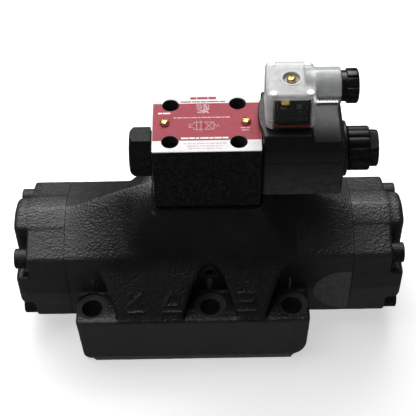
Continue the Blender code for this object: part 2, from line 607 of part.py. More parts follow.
def make_solenoid(steel, plastic, copper, rubber, metal_dark, pin_mat):
    axis = (0, 0, PILOT_Z)
    tube_profile = [(24.3, 2.0), (24.3, 10.6), (33.8, 10.6), (33.8, 14.3), (35.9, 14.3), (35.9, 10.9),
                    (81.4, 10.9), (81.4, 8.0), (97.3, 8.0), (98.1, 7.2), (98.1, 2.0), (80.6, 2.0),
                    (80.6, 8.3), (52.0, 8.3), (52.0, 2.0)]
    finish(turned(tube_profile, "X", axis, 16), "guide_tube", metal_dark, (24.3, 0, PILOT_Z))
    finish(tube("X", axis, 32.7, 33.5, 13.6, 11.3, 18), "tube_seal", rubber, (32.7, 0, PILOT_Z))
    finish(rod("X", axis, 56.2, 80.3, 7.8, 16), "armature", steel, (80.3, 0, PILOT_Z))
    finish(rod("X", axis, 24.3, 55.9, 1.6, 10), "push_pin", steel, (55.9, 0, PILOT_Z))
    finish(rod("X", axis, 80.6, 103.1, 1.6, 10), "manual_pin", pin_mat, (103.1, 0, PILOT_Z))
    finish(tube("X", axis, 36.5, 38.8, 16.5, 11.4, 18), "yoke_plate", metal_dark, (36.5, 0, PILOT_Z))
    finish(tube("X", axis, 39.1, 76.6, 16.4, 11.5, 18), "coil_winding", copper, (39.1, 0, PILOT_Z))
    make_coil_housing(plastic)
    finish(tube("X", axis, 82.3, 84.4, 17.0, 8.4, 24, 0.5), "coil_collar", plastic, (82.3, 0, PILOT_Z))
    make_lock_nut(plastic)


def make_connector_housing(mat):
    x0, x1 = PLUG_X
    z0, z1 = PLUG_Z
    gy, gz = GLAND
    body = rounded_box(x0, x1, -PLUG_Y, PLUG_Y, z0, z1, 3.0, 1.2)
    add(body, rod("X", (0, gy, gz), x1 - 6.0, *NECK, 22))
    cut(body, box(x0 + 2.0, x1 - 2.2, -PLUG_Y + 2.0, PLUG_Y - 2.0, z0 - 5, z1 - 2.2))
    cut(body, drill("X", (0, gy, gz), ((58.0, 64.2, 5.6), (64.2, 90.0, 8.0)), 18))
    add(body, rod("Z", (*PLUG_C, 0), z1 - 2.9, z1 - 1.0, 6.6, 16))
    for side in (-1, 1):         # corner posts of the side away from the gland
        y0, y1 = sorted((side * 11.2, side * (PLUG_Y - 1.0)))
        add(body, box(x0 + 1.0, x0 + 4.6, y0, y1, z0 + 1.0, z1 - 1.0))
    cut(body, drill("Z", (*PLUG_C, 0), ((180.0, PLUG_RECESS, 1.8), (PLUG_RECESS, 200.0, 5.0)), 14))
    return finish(body, "connector_housing", mat, (*PLUG_C, z0), 32)


def make_pin_carrier(mat):
    """Insulating plate with the four flat contact blades standing on it."""
    cx, cy = PLUG_C
    plate = box(cx - 10.0, cx + 10.0, -9.6, 9.6, 163.3, 167.7)
    for dx, dy in ((-6.5, 0), (6.5, 0)):
        add(plate, box(cx + dx - 0.5, cx + dx + 0.5, -3.1, 3.1, 166.0, 177.0))
    for dy in (-7.5, 7.5):
        add(plate, box(cx - 3.1, cx + 3.1, dy - 0.5, dy + 0.5, 166.0, 177.0))
    cut(plate, rod("Z", (cx, cy, 0), 160.0, 170.0, 1.8, 12))
    return finish(plate, "pin_carrier", mat, (cx, cy, 163.3))


def lamp_notch():
    x, y, z = LAMP
    return box(x - 2.7, x + 2.7, -20.0, y + 2.6, z - GAP, 200.0)


def make_terminal_block(mat):
    cx, cy = PLUG_C
    block = box(40.0, 60.2, -12.2, 12.2, 170.2, BLOCK_TOP)
    for dx in (-6.5, 6.5):
        cut(block, box(cx + dx - 0.9, cx + dx + 0.9, -3.6, 3.6, 169.0, 178.0))
    for dy in (-7.5, 7.5):
        cut(block, box(cx - 3.6, cx + 3.6, dy - 0.9, dy + 0.9, 169.0, 178.0))
    cut(block, rod("Z", (cx, cy, 0), 160.0, 195.0, 1.9, 12), lamp_notch())
    return finish(block, "terminal_block", mat, (cx, cy, 170.2))


def make_connector(clear, black, board_mat, lamp, red_rubber, brass, rubber, carrier_mat):
    cx, cy = PLUG_C
    gy, gz = GLAND
    gasket = rounded_box(34.5, 64.0, -15.6, 15.6, TURRET_TOP + GAP, 169.7, 2.5, 0.0, 2)
    cut(gasket, box(38.4, 60.2, -11.0, 11.0, 160.0, 175.0))
    finish(gasket, "connector_gasket", red_rubber, (cx, cy, TURRET_TOP + GAP))
    make_pin_carrier(carrier_mat)
    make_terminal_block(black)
    z = BLOCK_TOP + GAP
    board = box(41.2, 59.6, -12.6, 12.6, z, z + 1.6)
    cut(board, rod("Z", (cx, cy, 0), 180.0, 195.0, 2.4, 12), lamp_notch())
    finish(board, "circuit_board", board_mat, (cx, cy, z))
    z = LAMP[2]
    dome = [(z, 0), (z, 2.35), (z + 0.7, 2.35), (z + 0.7, 2.1), (z + 4.0, 2.1)]
    dome += [(z + 4.0 + 2.1 * math.sin(math.radians(a)), 2.1 * math.cos(math.radians(a))) for a in (30, 60)]
    dome += [(z + 6.1, 0)]
    finish(turned(dome, "Z", (*LAMP[:2], 0), 12), "lamp", lamp, LAMP)
    make_connector_housing(clear)
    z = PLUG_RECESS + GAP
    screw = turned([(159.4, 0), (159.4, 1.4), (z, 1.4), (z, 2.9), (z + 1.7, 2.8), (z + 2.4, 2.0),
                    (z + 2.7, 0)], "Z", (cx, cy, 0), 12)
    finish(screw, "connector_screw", brass, (cx, cy, z))
    collar = NECK[0] + GAP
    nut = turned([(69.9, 4.3), (69.9, 7.6), (collar, 7.6), (collar, 9.0), (81.0, 9.0), (81.0, 10.2),
                  (87.0, 10.2), (88.0, 9.2), (88.0, 4.3)], "X", (0, gy, gz), 18)
    finish(nut, "gland_nut", black, (collar, gy, gz))
    grommet = turned([(64.5, 4.2), (64.5, 7.0), (65.2, 7.6), (69.6, 7.6), (69.6, 4.2)], "X", (0, gy, gz), 16)
    finish(grommet, "cable_grommet", rubber, (64.5, gy, gz))


def main():
    clear_scene()
    paint = material("black_paint", (0.022, 0.022, 0.024), 0.42, 0.0)
    satin = material("pilot_black", (0.012, 0.012, 0.013), 0.40, 0.0)
    dark_steel = material("blackened_steel", (0.03, 0.03, 0.032), 0.38, 0.85)
    steel = material("ground_steel", (0.62, 0.62, 0.63), 0.22, 1.0)
    spring_steel = material("spring_steel", (0.35, 0.34, 0.33), 0.35, 1.0)
    rubber = material("black_rubber", (0.015, 0.015, 0.015), 0.75, 0.0)
    plate = material("nameplate_red", (0.50, 0.055, 0.085), 0.35, 0.0)
    brass = material("brass", (0.75, 0.58, 0.28), 0.25, 1.0)
    plug_mat = material("plug_black", (0.018, 0.018, 0.019), 0.35, 0.6)
    plastic = material("coil_plastic", (0.02, 0.02, 0.021), 0.45, 0.0)
    copper = material("copper_wire", (0.70, 0.32, 0.16), 0.35, 1.0)
    pin_mat = material("pin_steel", (0.60, 0.60, 0.60), 0.25, 1.0)
    clear = material("clear_plastic", (0.86, 0.87, 0.86), 0.10, 0.0)
    black = material("gloss_black_plastic", (0.012, 0.012, 0.012), 0.28, 0.0)
    board_mat = material("board_brown", (0.24, 0.13, 0.06), 0.5, 0.0)
    lamp = material("amber_lamp", (0.80, 0.42, 0.08), 0.2, 0.0)
    red_rubber = material("red_rubber", (0.45, 0.05, 0.03), 0.6, 0.0)
    carrier_mat = material("carrier_plastic", (0.05, 0.05, 0.05), 0.5, 0.0)
    make_main_stage(paint, steel, spring_steel, rubber, dark_steel)
    make_pilot_stage(satin, plate, brass, dark_steel, rubber, steel, spring_steel, plug_mat)
    make_solenoid(steel, plastic, copper, rubber, dark_steel, pin_mat)
    make_connector(clear, black, board_mat, lamp, red_rubber, brass, rubber, carrier_mat)


main()
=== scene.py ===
"""Looks of a two-stage solenoid directional valve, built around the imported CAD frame.

The castings are meshed from distance fields, so that their edges and corners run into each other with the
fillets of a real casting, and are then machined: flat faces, bores and seats are cut crisply into them.
The other pieces are turned, extruded or moulded.  Lengths are in millimetres until a mesh is made.
"""
import itertools
import math

import bmesh
import bpy
import numpy as np
from mathutils import Matrix, Vector, noise


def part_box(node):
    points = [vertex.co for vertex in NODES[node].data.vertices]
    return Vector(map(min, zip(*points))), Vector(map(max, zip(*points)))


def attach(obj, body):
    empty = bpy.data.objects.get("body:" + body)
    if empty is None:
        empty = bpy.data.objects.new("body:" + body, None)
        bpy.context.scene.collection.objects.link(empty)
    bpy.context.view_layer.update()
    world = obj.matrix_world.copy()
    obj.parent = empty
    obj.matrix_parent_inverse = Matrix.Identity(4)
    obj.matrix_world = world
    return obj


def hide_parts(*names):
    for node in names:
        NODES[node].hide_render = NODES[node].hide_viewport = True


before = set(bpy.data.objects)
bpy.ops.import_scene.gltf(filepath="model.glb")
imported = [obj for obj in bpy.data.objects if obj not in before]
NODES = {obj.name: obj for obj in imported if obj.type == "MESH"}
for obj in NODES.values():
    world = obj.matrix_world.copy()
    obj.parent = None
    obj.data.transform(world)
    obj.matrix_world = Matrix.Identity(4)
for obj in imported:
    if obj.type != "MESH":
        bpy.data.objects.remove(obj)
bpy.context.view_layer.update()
MM = 0.001


def span(node):
    """Lowest and highest corner of a CAD node at rest, in mm."""
    low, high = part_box(node)
    return low / MM, high / MM


# ---------------------------------------------------------------- driving dimensions, from the frame

BODY_LOW, BODY_HIGH = span("main_body")
CAP_LOW, CAP_HIGH = span("right_end_cap")
PILOT_LOW, PILOT_HIGH = span("pilot_body")
PLATE_LOW, PLATE_HIGH = span("nameplate")
COIL_LOW, COIL_HIGH = span("coil_housing")
PLUG_LOW, PLUG_HIGH = span("connector_housing")

END_X = 92.3                     # machined end faces of the casting
PAD_Z = BODY_HIGH.z              # machined pad under the pilot valve
BASE_Y = BODY_HIGH.y
BASE_TOP = 42.0
SEAT_Z = 39.8
MAIN_Z = 43.5                    # height of the main spool's axis
CREASE_Y, CREASE_Z = 33.5, 75.5  # edge between the barrel's side and its sloping top
SIDE_Y = 34.8
UNDER_Z = 11.5                   # underside of the barrel beyond the base
SKIRT_X = (-77.0, 53.2)
SKIRT_FOOT, SKIRT_HEAD = (BASE_Y, BASE_TOP), (34.0, 70.5)
MOUNT_HOLES = ((-77.0, -46.05), (0.0, -46.05), (53.2, -46.05),
               (-77.0, 46.05), (-23.8, 46.05), (53.2, 46.05))
PORTS = {"p": (0.0, 28.55), "a": (-23.8, -28.55), "b": (23.8, -28.55), "t": (-47.6, 28.55)}
SIDE_PORTS = {"x": (-59.5, -26.95), "y": (35.7, 27.05), "l": (-71.4, 0.0)}
DOWELS = ((17.5, 50.85), (-47.6, -46.05))
CAP_FACE, CAP_SEAT, CAP_END = 92.6, 116.8, 126.0
CAP_BOLT = (26.0, 24.0)
PILOT_Z = 137.6
PILOT_BOLTS = ((-21.5, -15.5), (-21.5, 15.5), (19.0, -16.25), (19.0, 16.25))
PLATE_SCREWS = ((-24.9, 0.2), (23.7, 0.2))
PLUG_C = (49.3, 0.0)
PLUG_RECESS = 193.6              # seat of the connector's screw
GLAND = (1.5, 187.6)             # y and z of the cable gland's axis
NECK_R = PLUG_HIGH.z - GLAND[1]  # radius of the connector's neck


# ---------------------------------------------------------------- meshing tools

def link(mesh, name):
    obj = bpy.data.objects.new(name, mesh)
    bpy.context.scene.collection.objects.link(obj)
    return obj


def from_bmesh(bm, name="tool"):
    bmesh.ops.recalc_face_normals(bm, faces=bm.faces)
    mesh = bpy.data.meshes.new(name)
    bm.to_mesh(mesh)
    bm.free()
    return link(mesh, name)


def smax(a, b, k):
    """Rounded intersection of two fields: the edge between them is eased over k."""
    h = np.clip(0.5 + 0.5 * (a - b) / k, 0.0, 1.0)
    return b + (a - b) * h + k * h * (1.0 - h)


def smin(a, b, k):
    """Rounded union of two fields: the corner between them is filleted over k."""
    return -smax(-a, -b, k)


def surface_net(field, low, high, step):
    """Vertices and quads of the surface where field(x, y, z) is 0, on a regular grid."""
    axes = [np.arange(a, b + step, step, dtype=np.float32) for a, b in zip(low, high)]
    value = field(*np.meshgrid(*axes, indexing="ij", sparse=True)).astype(np.float32)
    inside = value < 0
    n = value.shape
    count = np.zeros([s - 1 for s in n], np.uint8)
    for o in itertools.product((0, 1), repeat=3):
        count += inside[tuple(slice(o[d], n[d] - 1 + o[d]) for d in range(3))]
    mixed = (count > 0) & (count < 8)
    cells = np.argwhere(mixed)
    index = np.full(mixed.shape, -1, np.int64)
    index[mixed] = np.arange(len(cells))
    total, hits = np.zeros((len(cells), 3)), np.zeros(len(cells))
    for axis in range(3):
        for o in itertools.product((0, 1), repeat=2):
            start = cells + np.insert(o, axis, 0)
            end = cells + np.insert(o, axis, 1)
            va, vb = value[tuple(start.T)], value[tuple(end.T)]
            cross = (va < 0) != (vb < 0)
            point = start[cross].astype(float)
            point[:, axis] += va[cross] / (va[cross] - vb[cross])
            total[cross] += point
            hits[cross] += 1
    verts = np.array(low) + step * total / hits[:, None]
    quads = []
    for axis in range(3):
        u, v = (axis + 1) % 3, (axis + 2) % 3
        lower = inside[tuple(slice(0, n[d] - (d == axis)) for d in range(3))]
        upper = inside[tuple(slice(int(d == axis), n[d]) for d in range(3))]
        edges = np.argwhere(lower != upper)
        interior = (edges[:, u] > 0) & (edges[:, u] < n[u] - 1) & (edges[:, v] > 0) & (edges[:, v] < n[v] - 1)
        edges = edges[interior]
        du, dv = np.eye(3, dtype=int)[u], np.eye(3, dtype=int)[v]
        ring = np.stack([index[tuple(e.T)] for e in (edges - du - dv, edges - dv, edges, edges - du)], 1)
        outward = lower[tuple(edges.T)]
        quads.append(np.where(outward[:, None], ring, ring[:, ::-1]))
    return verts, np.concatenate(quads)


def settle(field, verts, rounds=2, reach=0.6):
    """Moves the vertices onto the surface, and returns them with their outward normals."""
    e = 0.04
    for _ in range(rounds + 1):
        x, y, z = (verts[:, d].astype(float) for d in range(3))
        here = field(x, y, z)
        slope = np.stack([field(x + e, y, z) - field(x - e, y, z), field(x, y + e, z) - field(x, y - e, z),
                          field(x, y, z + e) - field(x, y, z - e)], 1) / (2 * e)
        steep = np.maximum((slope ** 2).sum(1), 0.2)
        verts = verts - np.clip(here / steep, -reach, reach)[:, None] * slope
    return verts, slope / np.sqrt(steep)[:, None]


def skin_noise(verts, waves):
    """Uneven skin: a sum of smooth noises, each with (wavelength, height) in mm."""
    out = np.zeros(len(verts))
    for length, height in waves:
        scaled = verts / length
        out += height * np.array([noise.noise(Vector(p)) for p in scaled])
    return out


def moulded(name, field, low, high, step, waves=()):
    """Object from a field, with an uneven skin if waves are given."""
    verts, quads = surface_net(field, low, high, step)
    verts, normals = settle(field, verts)
    if waves:
        verts = verts + normals * skin_noise(verts, waves)[:, None]
    mesh = bpy.data.meshes.new(name)
    mesh.from_pydata((verts * MM).tolist(), [], quads.tolist())
    mesh.update()
    return link(mesh, name)


def trim(obj, point, normal):
    """Machines a flat face: removes what is beyond the plane and closes the cut."""
    bm = bmesh.new()
    bm.from_mesh(obj.data)
    cut = bmesh.ops.bisect_plane(bm, geom=bm.verts[:] + bm.edges[:] + bm.faces[:], dist=1e-7,
                                 plane_co=Vector(point) * MM, plane_no=normal, clear_outer=True)
    rim = [g for g in cut["geom_cut"] if isinstance(g, bmesh.types.BMEdge)]
    made = bmesh.ops.edgeloop_fill(bm, edges=rim)
    for face in made["faces"]:
        face.material_index = 0
    bmesh.ops.recalc_face_normals(bm, faces=made["faces"])
    for face in made["faces"]:
        face.normal_update()
        if face.normal.dot(Vector(normal)) < 0:
            face.normal_flip()
    bm.to_mesh(obj.data)
    bm.free()
    return obj


AXES = {"X": (Vector((1, 0, 0)), Vector((0, 1, 0)), Vector((0, 0, 1))),
        "Y": (Vector((0, 1, 0)), Vector((0, 0, 1)), Vector((1, 0, 0))),
        "Z": (Vector((0, 0, 1)), Vector((1, 0, 0)), Vector((0, 1, 0)))}


def turned(profile, axis, centre, segments=64, ripple=None, name="tool"):
    """Body of revolution from (position, radius) points, from axis to axis or round a closed loop.
    ripple(angle, position, radius) may change the radius round the turn."""
    along, side, other = AXES[axis]
    centre = Vector(centre)
    closed = min(r for _, r in profile) > 1e-6
    bm = bmesh.new()
    rings = []
    for pos, radius in profile:
        if radius < 1e-6:
            rings.append([bm.verts.new((centre + along * pos) * MM)])
            continue
        ring = []
        for k in range(segments):
            a = 2 * math.pi * k / segments
            r = ripple(a, pos, radius) if ripple else radius
            out = (side * math.cos(a) + other * math.sin(a)) * r
            ring.append(bm.verts.new((centre + along * pos + out) * MM))
        rings.append(ring)
    for i in range(len(rings) if closed else len(rings) - 1):
        lower, upper = rings[i], rings[(i + 1) % len(rings)]
        for k in range(segments):
            n = (k + 1) % segments
            if len(lower) == 1:
                bm.faces.new((lower[0], upper[n], upper[k]))
            elif len(upper) == 1:
                bm.faces.new((lower[k], lower[n], upper[0]))
            else:
                bm.faces.new((lower[k], lower[n], upper[n], upper[k]))
    return from_bmesh(bm, name)


def rod(axis, centre, start, end, radius, segments=48):
    return turned([(start, 0), (start, radius), (end, radius), (end, 0)], axis, centre, segments)


def drill(axis, centre, steps, segments=48):
    """Stepped hole: steps lists (start, end, radius) one after the other along the axis."""
    profile = [(steps[0][0], 0)]
    for start, end, radius in steps:
        profile += [(start, radius), (end, radius)]
    profile.append((steps[-1][1], 0))
    return turned(profile, axis, centre, segments)


def prism(points, axis, start, end, name="tool"):
    """Straight extrusion.  The outline lists (y, z) for axis X, (x, z) for Y and (x, y) for Z."""
    def place(p, q, pos):
        return {"X": (pos, p, q), "Y": (p, pos, q), "Z": (p, q, pos)}[axis]
    bm = bmesh.new()
    first = [bm.verts.new(Vector(place(p, q, start)) * MM) for p, q in points]
    last = [bm.verts.new(Vector(place(p, q, end)) * MM) for p, q in points]
    bm.faces.new(first)
    bm.faces.new(list(reversed(last)))
    for k in range(len(points)):
        n = (k + 1) % len(points)
        bm.faces.new((first[k], last[k], last[n], first[n]))
    return from_bmesh(bm, name)


def block(low, high):
    (x0, y0, z0), (x1, y1, z1) = low, high
    return prism([(x0, y0), (x1, y0), (x1, y1), (x0, y1)], "Z", z0, z1)


def rounded_rectangle(x0, x1, y0, y1, radius, steps=8):
    points = []
    for cx, cy, first in ((x1 - radius, y1 - radius, 0), (x0 + radius, y1 - radius, 90),
                          (x0 + radius, y0 + radius, 180), (x1 - radius, y0 + radius, 270)):
        for k in range(steps + 1):
            a = math.radians(first + 90 * k / steps)
            points.append((cx + radius * math.cos(a), cy + radius * math.sin(a)))
    return points


def hexagon(across_flats, cy, cz, turn=0.0):
    r = across_flats / math.sqrt(3)
    return [(cy + r * math.sin(math.radians(turn + 60 * k)), cz + r * math.cos(math.radians(turn + 60 * k)))
            for k in range(6)]


def joined(objs, name="tool"):
    """One object from several, their meshes side by side."""
    bm = bmesh.new()
    for obj in objs:
        start = len(bm.verts)
        bm.from_mesh(obj.data)
        bm.verts.ensure_lookup_table()
        for v in bm.verts[start:]:
            v.co = obj.matrix_basis @ v.co
        bpy.data.objects.remove(obj, do_unlink=True)
    mesh = bpy.data.meshes.new(name)
    bm.to_mesh(mesh)
    bm.free()
    return link(mesh, name)


def boolean(target, tool, operation="DIFFERENCE", mat=None):
    """Cuts or adds a closed tool; faces that the tool leaves take the material mat."""
    if mat:
        tool.data.materials.append(mat)
    mod = target.modifiers.new("boolean", "BOOLEAN")
    mod.object, mod.operation, mod.solver = tool, operation, "EXACT"
    mod.material_mode = "TRANSFER"
    graph = bpy.context.evaluated_depsgraph_get()
    mesh = bpy.data.meshes.new_from_object(target.evaluated_get(graph))
    target.modifiers.clear()
    target.data = mesh
    bpy.data.objects.remove(tool, do_unlink=True)
    return target


def soften(obj, width, segments=2, angle=32):
    """Small rounded edges."""
    mod = obj.modifiers.new("edges", "BEVEL")
    mod.width, mod.segments = width * MM, segments
    mod.limit_method, mod.angle_limit = "ANGLE", math.radians(angle)
    mod.harden_normals = True
    return obj


def piece(obj, name, mat, body, nodes=(), angle=35):
    """Names and shades a finished piece, and says which body it rides and what it stands for."""
    obj.name = name
    obj.data.name = name
    if not obj.data.materials:
        obj.data.materials.append(mat)
    elif obj.data.materials[0] is None:
        obj.data.materials[0] = mat
    obj.data.shade_smooth()
    obj.data.set_sharp_from_angle(angle=math.radians(angle))
    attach(obj, body)
    if nodes:
        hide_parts(*nodes)
    return obj


# ---------------------------------------------------------------- materials

class Shader:
    """A Principled material whose colour, roughness and bump come from patterns in object space."""

    def __init__(self, name, colour, roughness, metallic=0.0, **inputs):
        self.mat = bpy.data.materials.new(name)
        self.mat.use_nodes = True
        self.tree = self.mat.node_tree
        self.bsdf = self.tree.nodes["Principled BSDF"]
        self.set("Base Color", (*colour, 1.0))
        self.set("Roughness", roughness)
        self.set("Metallic", metallic)
        for key, value in inputs.items():
            self.set(key.replace("_", " "), value)
        self.coords = self.node("ShaderNodeTexCoord").outputs["Object"]
        self.colour, self.roughness, self.bump = colour, roughness, None

    def set(self, socket, value):
        self.bsdf.inputs[socket].default_value = value

    def node(self, kind, **values):
        made = self.tree.nodes.new(kind)
        for key, value in values.items():
            setattr(made, key, value)
        return made

    def wire(self, source, target):
        self.tree.links.new(source, target)

    def noise(self, size_mm, detail=2.0, rough=0.5, stretch=(1, 1, 1)):
        """Smooth noise from 0 to 1 with features of about size_mm."""
        tex = self.node("ShaderNodeTexNoise")
        tex.inputs["Scale"].default_value = 1.0 / (size_mm * MM)
        tex.inputs["Detail"].default_value = detail
        tex.inputs["Roughness"].default_value = rough
        mapping = self.node("ShaderNodeMapping")
        mapping.inputs["Scale"].default_value = stretch
        self.wire(self.coords, mapping.inputs["Vector"])
        self.wire(mapping.outputs["Vector"], tex.inputs["Vector"])
        return tex.outputs["Fac"]

    def cells(self, size_mm, feature="F1"):
        tex = self.node("ShaderNodeTexVoronoi", feature=feature)
        tex.inputs["Scale"].default_value = 1.0 / (size_mm * MM)
        self.wire(self.coords, tex.inputs["Vector"])
        return tex.outputs["Distance"]

    def remap(self, source, low, high, to_low=0.0, to_high=1.0):
        node = self.node("ShaderNodeMapRange")
        for key, value in (("From Min", low), ("From Max", high), ("To Min", to_low), ("To Max", to_high)):
            node.inputs[key].default_value = value
        self.wire(source, node.inputs["Value"])
        return node.outputs["Result"]

    def math(self, operation, a, b):
        node = self.node("ShaderNodeMath", operation=operation)
        for socket, value in zip(node.inputs, (a, b)):
            if isinstance(value, (int, float)):
                socket.default_value = value
            else:
                self.wire(value, socket)
        return node.outputs[0]

    def axis(self, name):
        split = self.node("ShaderNodeSeparateXYZ")
        self.wire(self.coords, split.inputs[0])
        return split.outputs[name]

    def mix(self, fac, a, b):
        """Colour mix; a and b are colours or sockets."""
        node = self.node("ShaderNodeMix", data_type="RGBA")
        self.wire(fac, node.inputs["Factor"])
        for socket, value in ((node.inputs[6], a), (node.inputs[7], b)):
            if isinstance(value, tuple):
                socket.default_value = (*value, 1.0)
            else:
                self.wire(value, socket)
        return node.outputs[2]

    def tint(self, fac, other):
        """Mixes the colour towards other by the pattern fac."""
        start = self.colour
        self.colour = self.mix(fac, start, other)
        self.wire(self.colour, self.bsdf.inputs["Base Color"])

    def vary_roughness(self, fac, low, high):
        self.wire(self.remap(fac, 0.25, 0.75, low, high), self.bsdf.inputs["Roughness"])

    def relief(self, height, depth_mm, strength=1.0):
        """Adds a bump layer; depth_mm is the height that the pattern's 0 to 1 stands for."""
        node = self.node("ShaderNodeBump")
        node.inputs["Strength"].default_value = strength
        node.inputs["Distance"].default_value = depth_mm * MM
        self.wire(height, node.inputs["Height"])
        if self.bump:
            self.wire(self.bump, node.inputs["Normal"])
        self.bump = node.outputs["Normal"]
        self.wire(self.bump, self.bsdf.inputs["Normal"])


def wear(shader, colour, lightest=0.62):
    """Lighter rubbed edges, from the surface's own pointiness."""
    geometry = shader.node("ShaderNodeNewGeometry")
    edge = shader.remap(geometry.outputs["Pointiness"], 0.52, lightest)
    patchy = shader.remap(shader.noise(2.2, 3.0), 0.42, 0.62)
    shader.tint(shader.math("MULTIPLY", edge, patchy), colour)


def casting_paint():
    """Black enamel over sand-cast iron: orange peel, fine grit, dusty patches, and a bare lower rim."""
    s = Shader("casting_paint", (0.0032, 0.0031, 0.0030), 0.42, Specular_IOR_Level=0.68)
    ends = s.remap(s.math("ABSOLUTE", s.axis("X"), 0.0), 0.056, 0.084)
    s.tint(ends, (0.0180, 0.0180, 0.0177))
    # painted reflection: below the top of the base the paint is lighter, in place of the floor's reflection
    # on it
    s.tint(s.remap(s.axis("Z"), 0.0425, 0.0405), (0.0290, 0.0288, 0.0282))
    dust = s.remap(s.noise(18.0, 4.0, 0.6), 0.40, 0.70)
    s.tint(s.math("MULTIPLY", dust, 0.30), (0.021, 0.020, 0.019))
    bare = s.remap(s.math("ADD", s.axis("Z"), s.remap(s.noise(6.0, 3.0), 0, 1, -0.0006, 0.0006)), 0.0046,
                   0.0040)
    s.tint(bare, (0.075, 0.070, 0.055))
    s.vary_roughness(s.noise(5.0, 3.0), 0.34, 0.50)
    smooth = s.remap(s.noise(26.0, 2.0), 0.40, 0.58, 1.0, 0.5)
    flat = s.remap(s.axis("Z"), 0.0405, 0.0430, 0.22, 1.0)
    rough = s.math("MULTIPLY", smooth, flat)
    peel = s.math("MULTIPLY", s.remap(s.noise(1.45, 1.0, 0.4), 0.30, 0.70), rough)
    s.relief(peel, 0.30, 1.0)
    pits = s.math("MULTIPLY", s.remap(s.cells(2.4), 0.0, 0.35), rough)
    s.relief(pits, 0.10, 0.5)
    s.relief(s.noise(0.45, 2.0), 0.05, 0.5)
    return s.mat


def machined_paint():
    """The thinner, smoother paint on faces that were machined before painting."""
    s = Shader("machined_paint", (0.042, 0.042, 0.044), 0.36, Specular_IOR_Level=0.6)
    s.tint(s.remap(s.noise(1.6, 3.0), 0.45, 0.75), (0.090, 0.090, 0.092))
    s.vary_roughness(s.noise(1.5, 3.0), 0.32, 0.46)
    s.relief(s.noise(0.7, 2.0), 0.03, 0.6)
    return s.mat


def bare_iron():
    s = Shader("bare_iron", (0.34, 0.33, 0.31), 0.38, 0.9)
    s.tint(s.remap(s.noise(9.0, 5.0, 0.6), 0.45, 0.75), (0.22, 0.19, 0.15))
    s.vary_roughness(s.noise(2.0, 3.0), 0.30, 0.50)
    s.relief(s.noise(0.5, 2.0, 0.5, (1, 14, 1)), 0.02, 0.7)
    return s.mat


def block_paint():
    """Satin black enamel on the machined pilot block."""
    s = Shader("block_paint", (0.0026, 0.0025, 0.0027), 0.34, Specular_IOR_Level=0.28)
    s.tint(s.remap(s.noise(7.0, 4.0), 0.50, 0.80), (0.0040, 0.0039, 0.0039))
    s.vary_roughness(s.noise(4.0, 3.0), 0.30, 0.44)
    s.relief(s.noise(0.9, 2.0), 0.035, 0.5)
    wear(s, (0.030, 0.029, 0.028))
    return s.mat


def black_steel():
    """Blackened steel of the socket screws."""
    s = Shader("black_steel", (0.028, 0.028, 0.030), 0.36, 0.75)
    s.tint(s.remap(s.noise(2.5, 4.0), 0.45, 0.75), (0.060, 0.055, 0.050))
    s.vary_roughness(s.noise(1.2, 3.0), 0.30, 0.48)
    s.relief(s.noise(0.4, 2.0), 0.02, 0.5)
    wear(s, (0.16, 0.15, 0.14))
    return s.mat


def ground_steel(name="ground_steel", colour=(0.60, 0.60, 0.60), rough=0.24, stretch=(1, 12, 12)):
    """Ground steel with fine turning lines."""
    s = Shader(name, colour, rough, 1.0)
    s.tint(s.remap(s.noise(6.0, 3.0), 0.45, 0.8), tuple(c * 0.75 for c in colour))
    s.vary_roughness(s.noise(0.8, 3.0, 0.5, stretch), rough * 0.8, rough * 1.5)
    s.relief(s.noise(0.35, 2.0, 0.5, stretch), 0.012, 0.5)
    return s.mat


def brass():
    s = Shader("brass_bright", (0.83, 0.63, 0.30), 0.20, 1.0)
    s.tint(s.remap(s.noise(0.9, 3.0), 0.45, 0.75), (0.62, 0.42, 0.18))
    s.vary_roughness(s.noise(0.6, 3.0), 0.16, 0.34)
    s.relief(s.noise(0.3, 2.0), 0.01, 0.4)
    return s.mat


def rubber(name="black_rubber", colour=(0.018, 0.018, 0.018), rough=0.62):
    s = Shader(name, colour, rough)
    s.tint(s.remap(s.noise(1.8, 3.0), 0.45, 0.8), tuple(c * 1.8 for c in colour))
    s.vary_roughness(s.noise(1.0, 2.0), rough - 0.08, rough + 0.12)
    s.relief(s.noise(0.35, 2.0), 0.03, 0.6)
    return s.mat


def moulding(name, colour, rough, grain_mm=0.55, grain_depth=0.035, speck=1.8, shine=0.5, fade=None):
    """Black moulded plastic with an eroded grain.  fade is (z, z, colour): paler between two heights."""
    s = Shader(name, colour, rough, Specular_IOR_Level=shine)
    if fade:
        s.tint(s.remap(s.axis("Z"), fade[0] * MM, fade[1] * MM), fade[2])
    s.tint(s.remap(s.noise(5.0, 3.0), 0.45, 0.8), tuple(c * speck for c in colour))
    s.vary_roughness(s.noise(2.4, 3.0), rough - 0.05, rough + 0.08)
    s.relief(s.noise(grain_mm, 2.0, 0.6), grain_depth, 0.6)
    wear(s, tuple(c * 3.2 for c in colour))
    return s.mat


def printed(name, colour, rough=0.34, shine=0.5):
    """Ink or lacquer on the foil plate."""
    s = Shader(name, colour, rough, Specular_IOR_Level=shine)
    s.tint(s.remap(s.noise(7.0, 3.0), 0.42, 0.75), tuple(min(1.0, c * 0.86 + 0.012) for c in colour))
    s.vary_roughness(s.noise(3.0, 2.0), rough - 0.06, rough + 0.08)
    s.relief(s.noise(0.8, 2.0), 0.012, 0.5)
    return s.mat


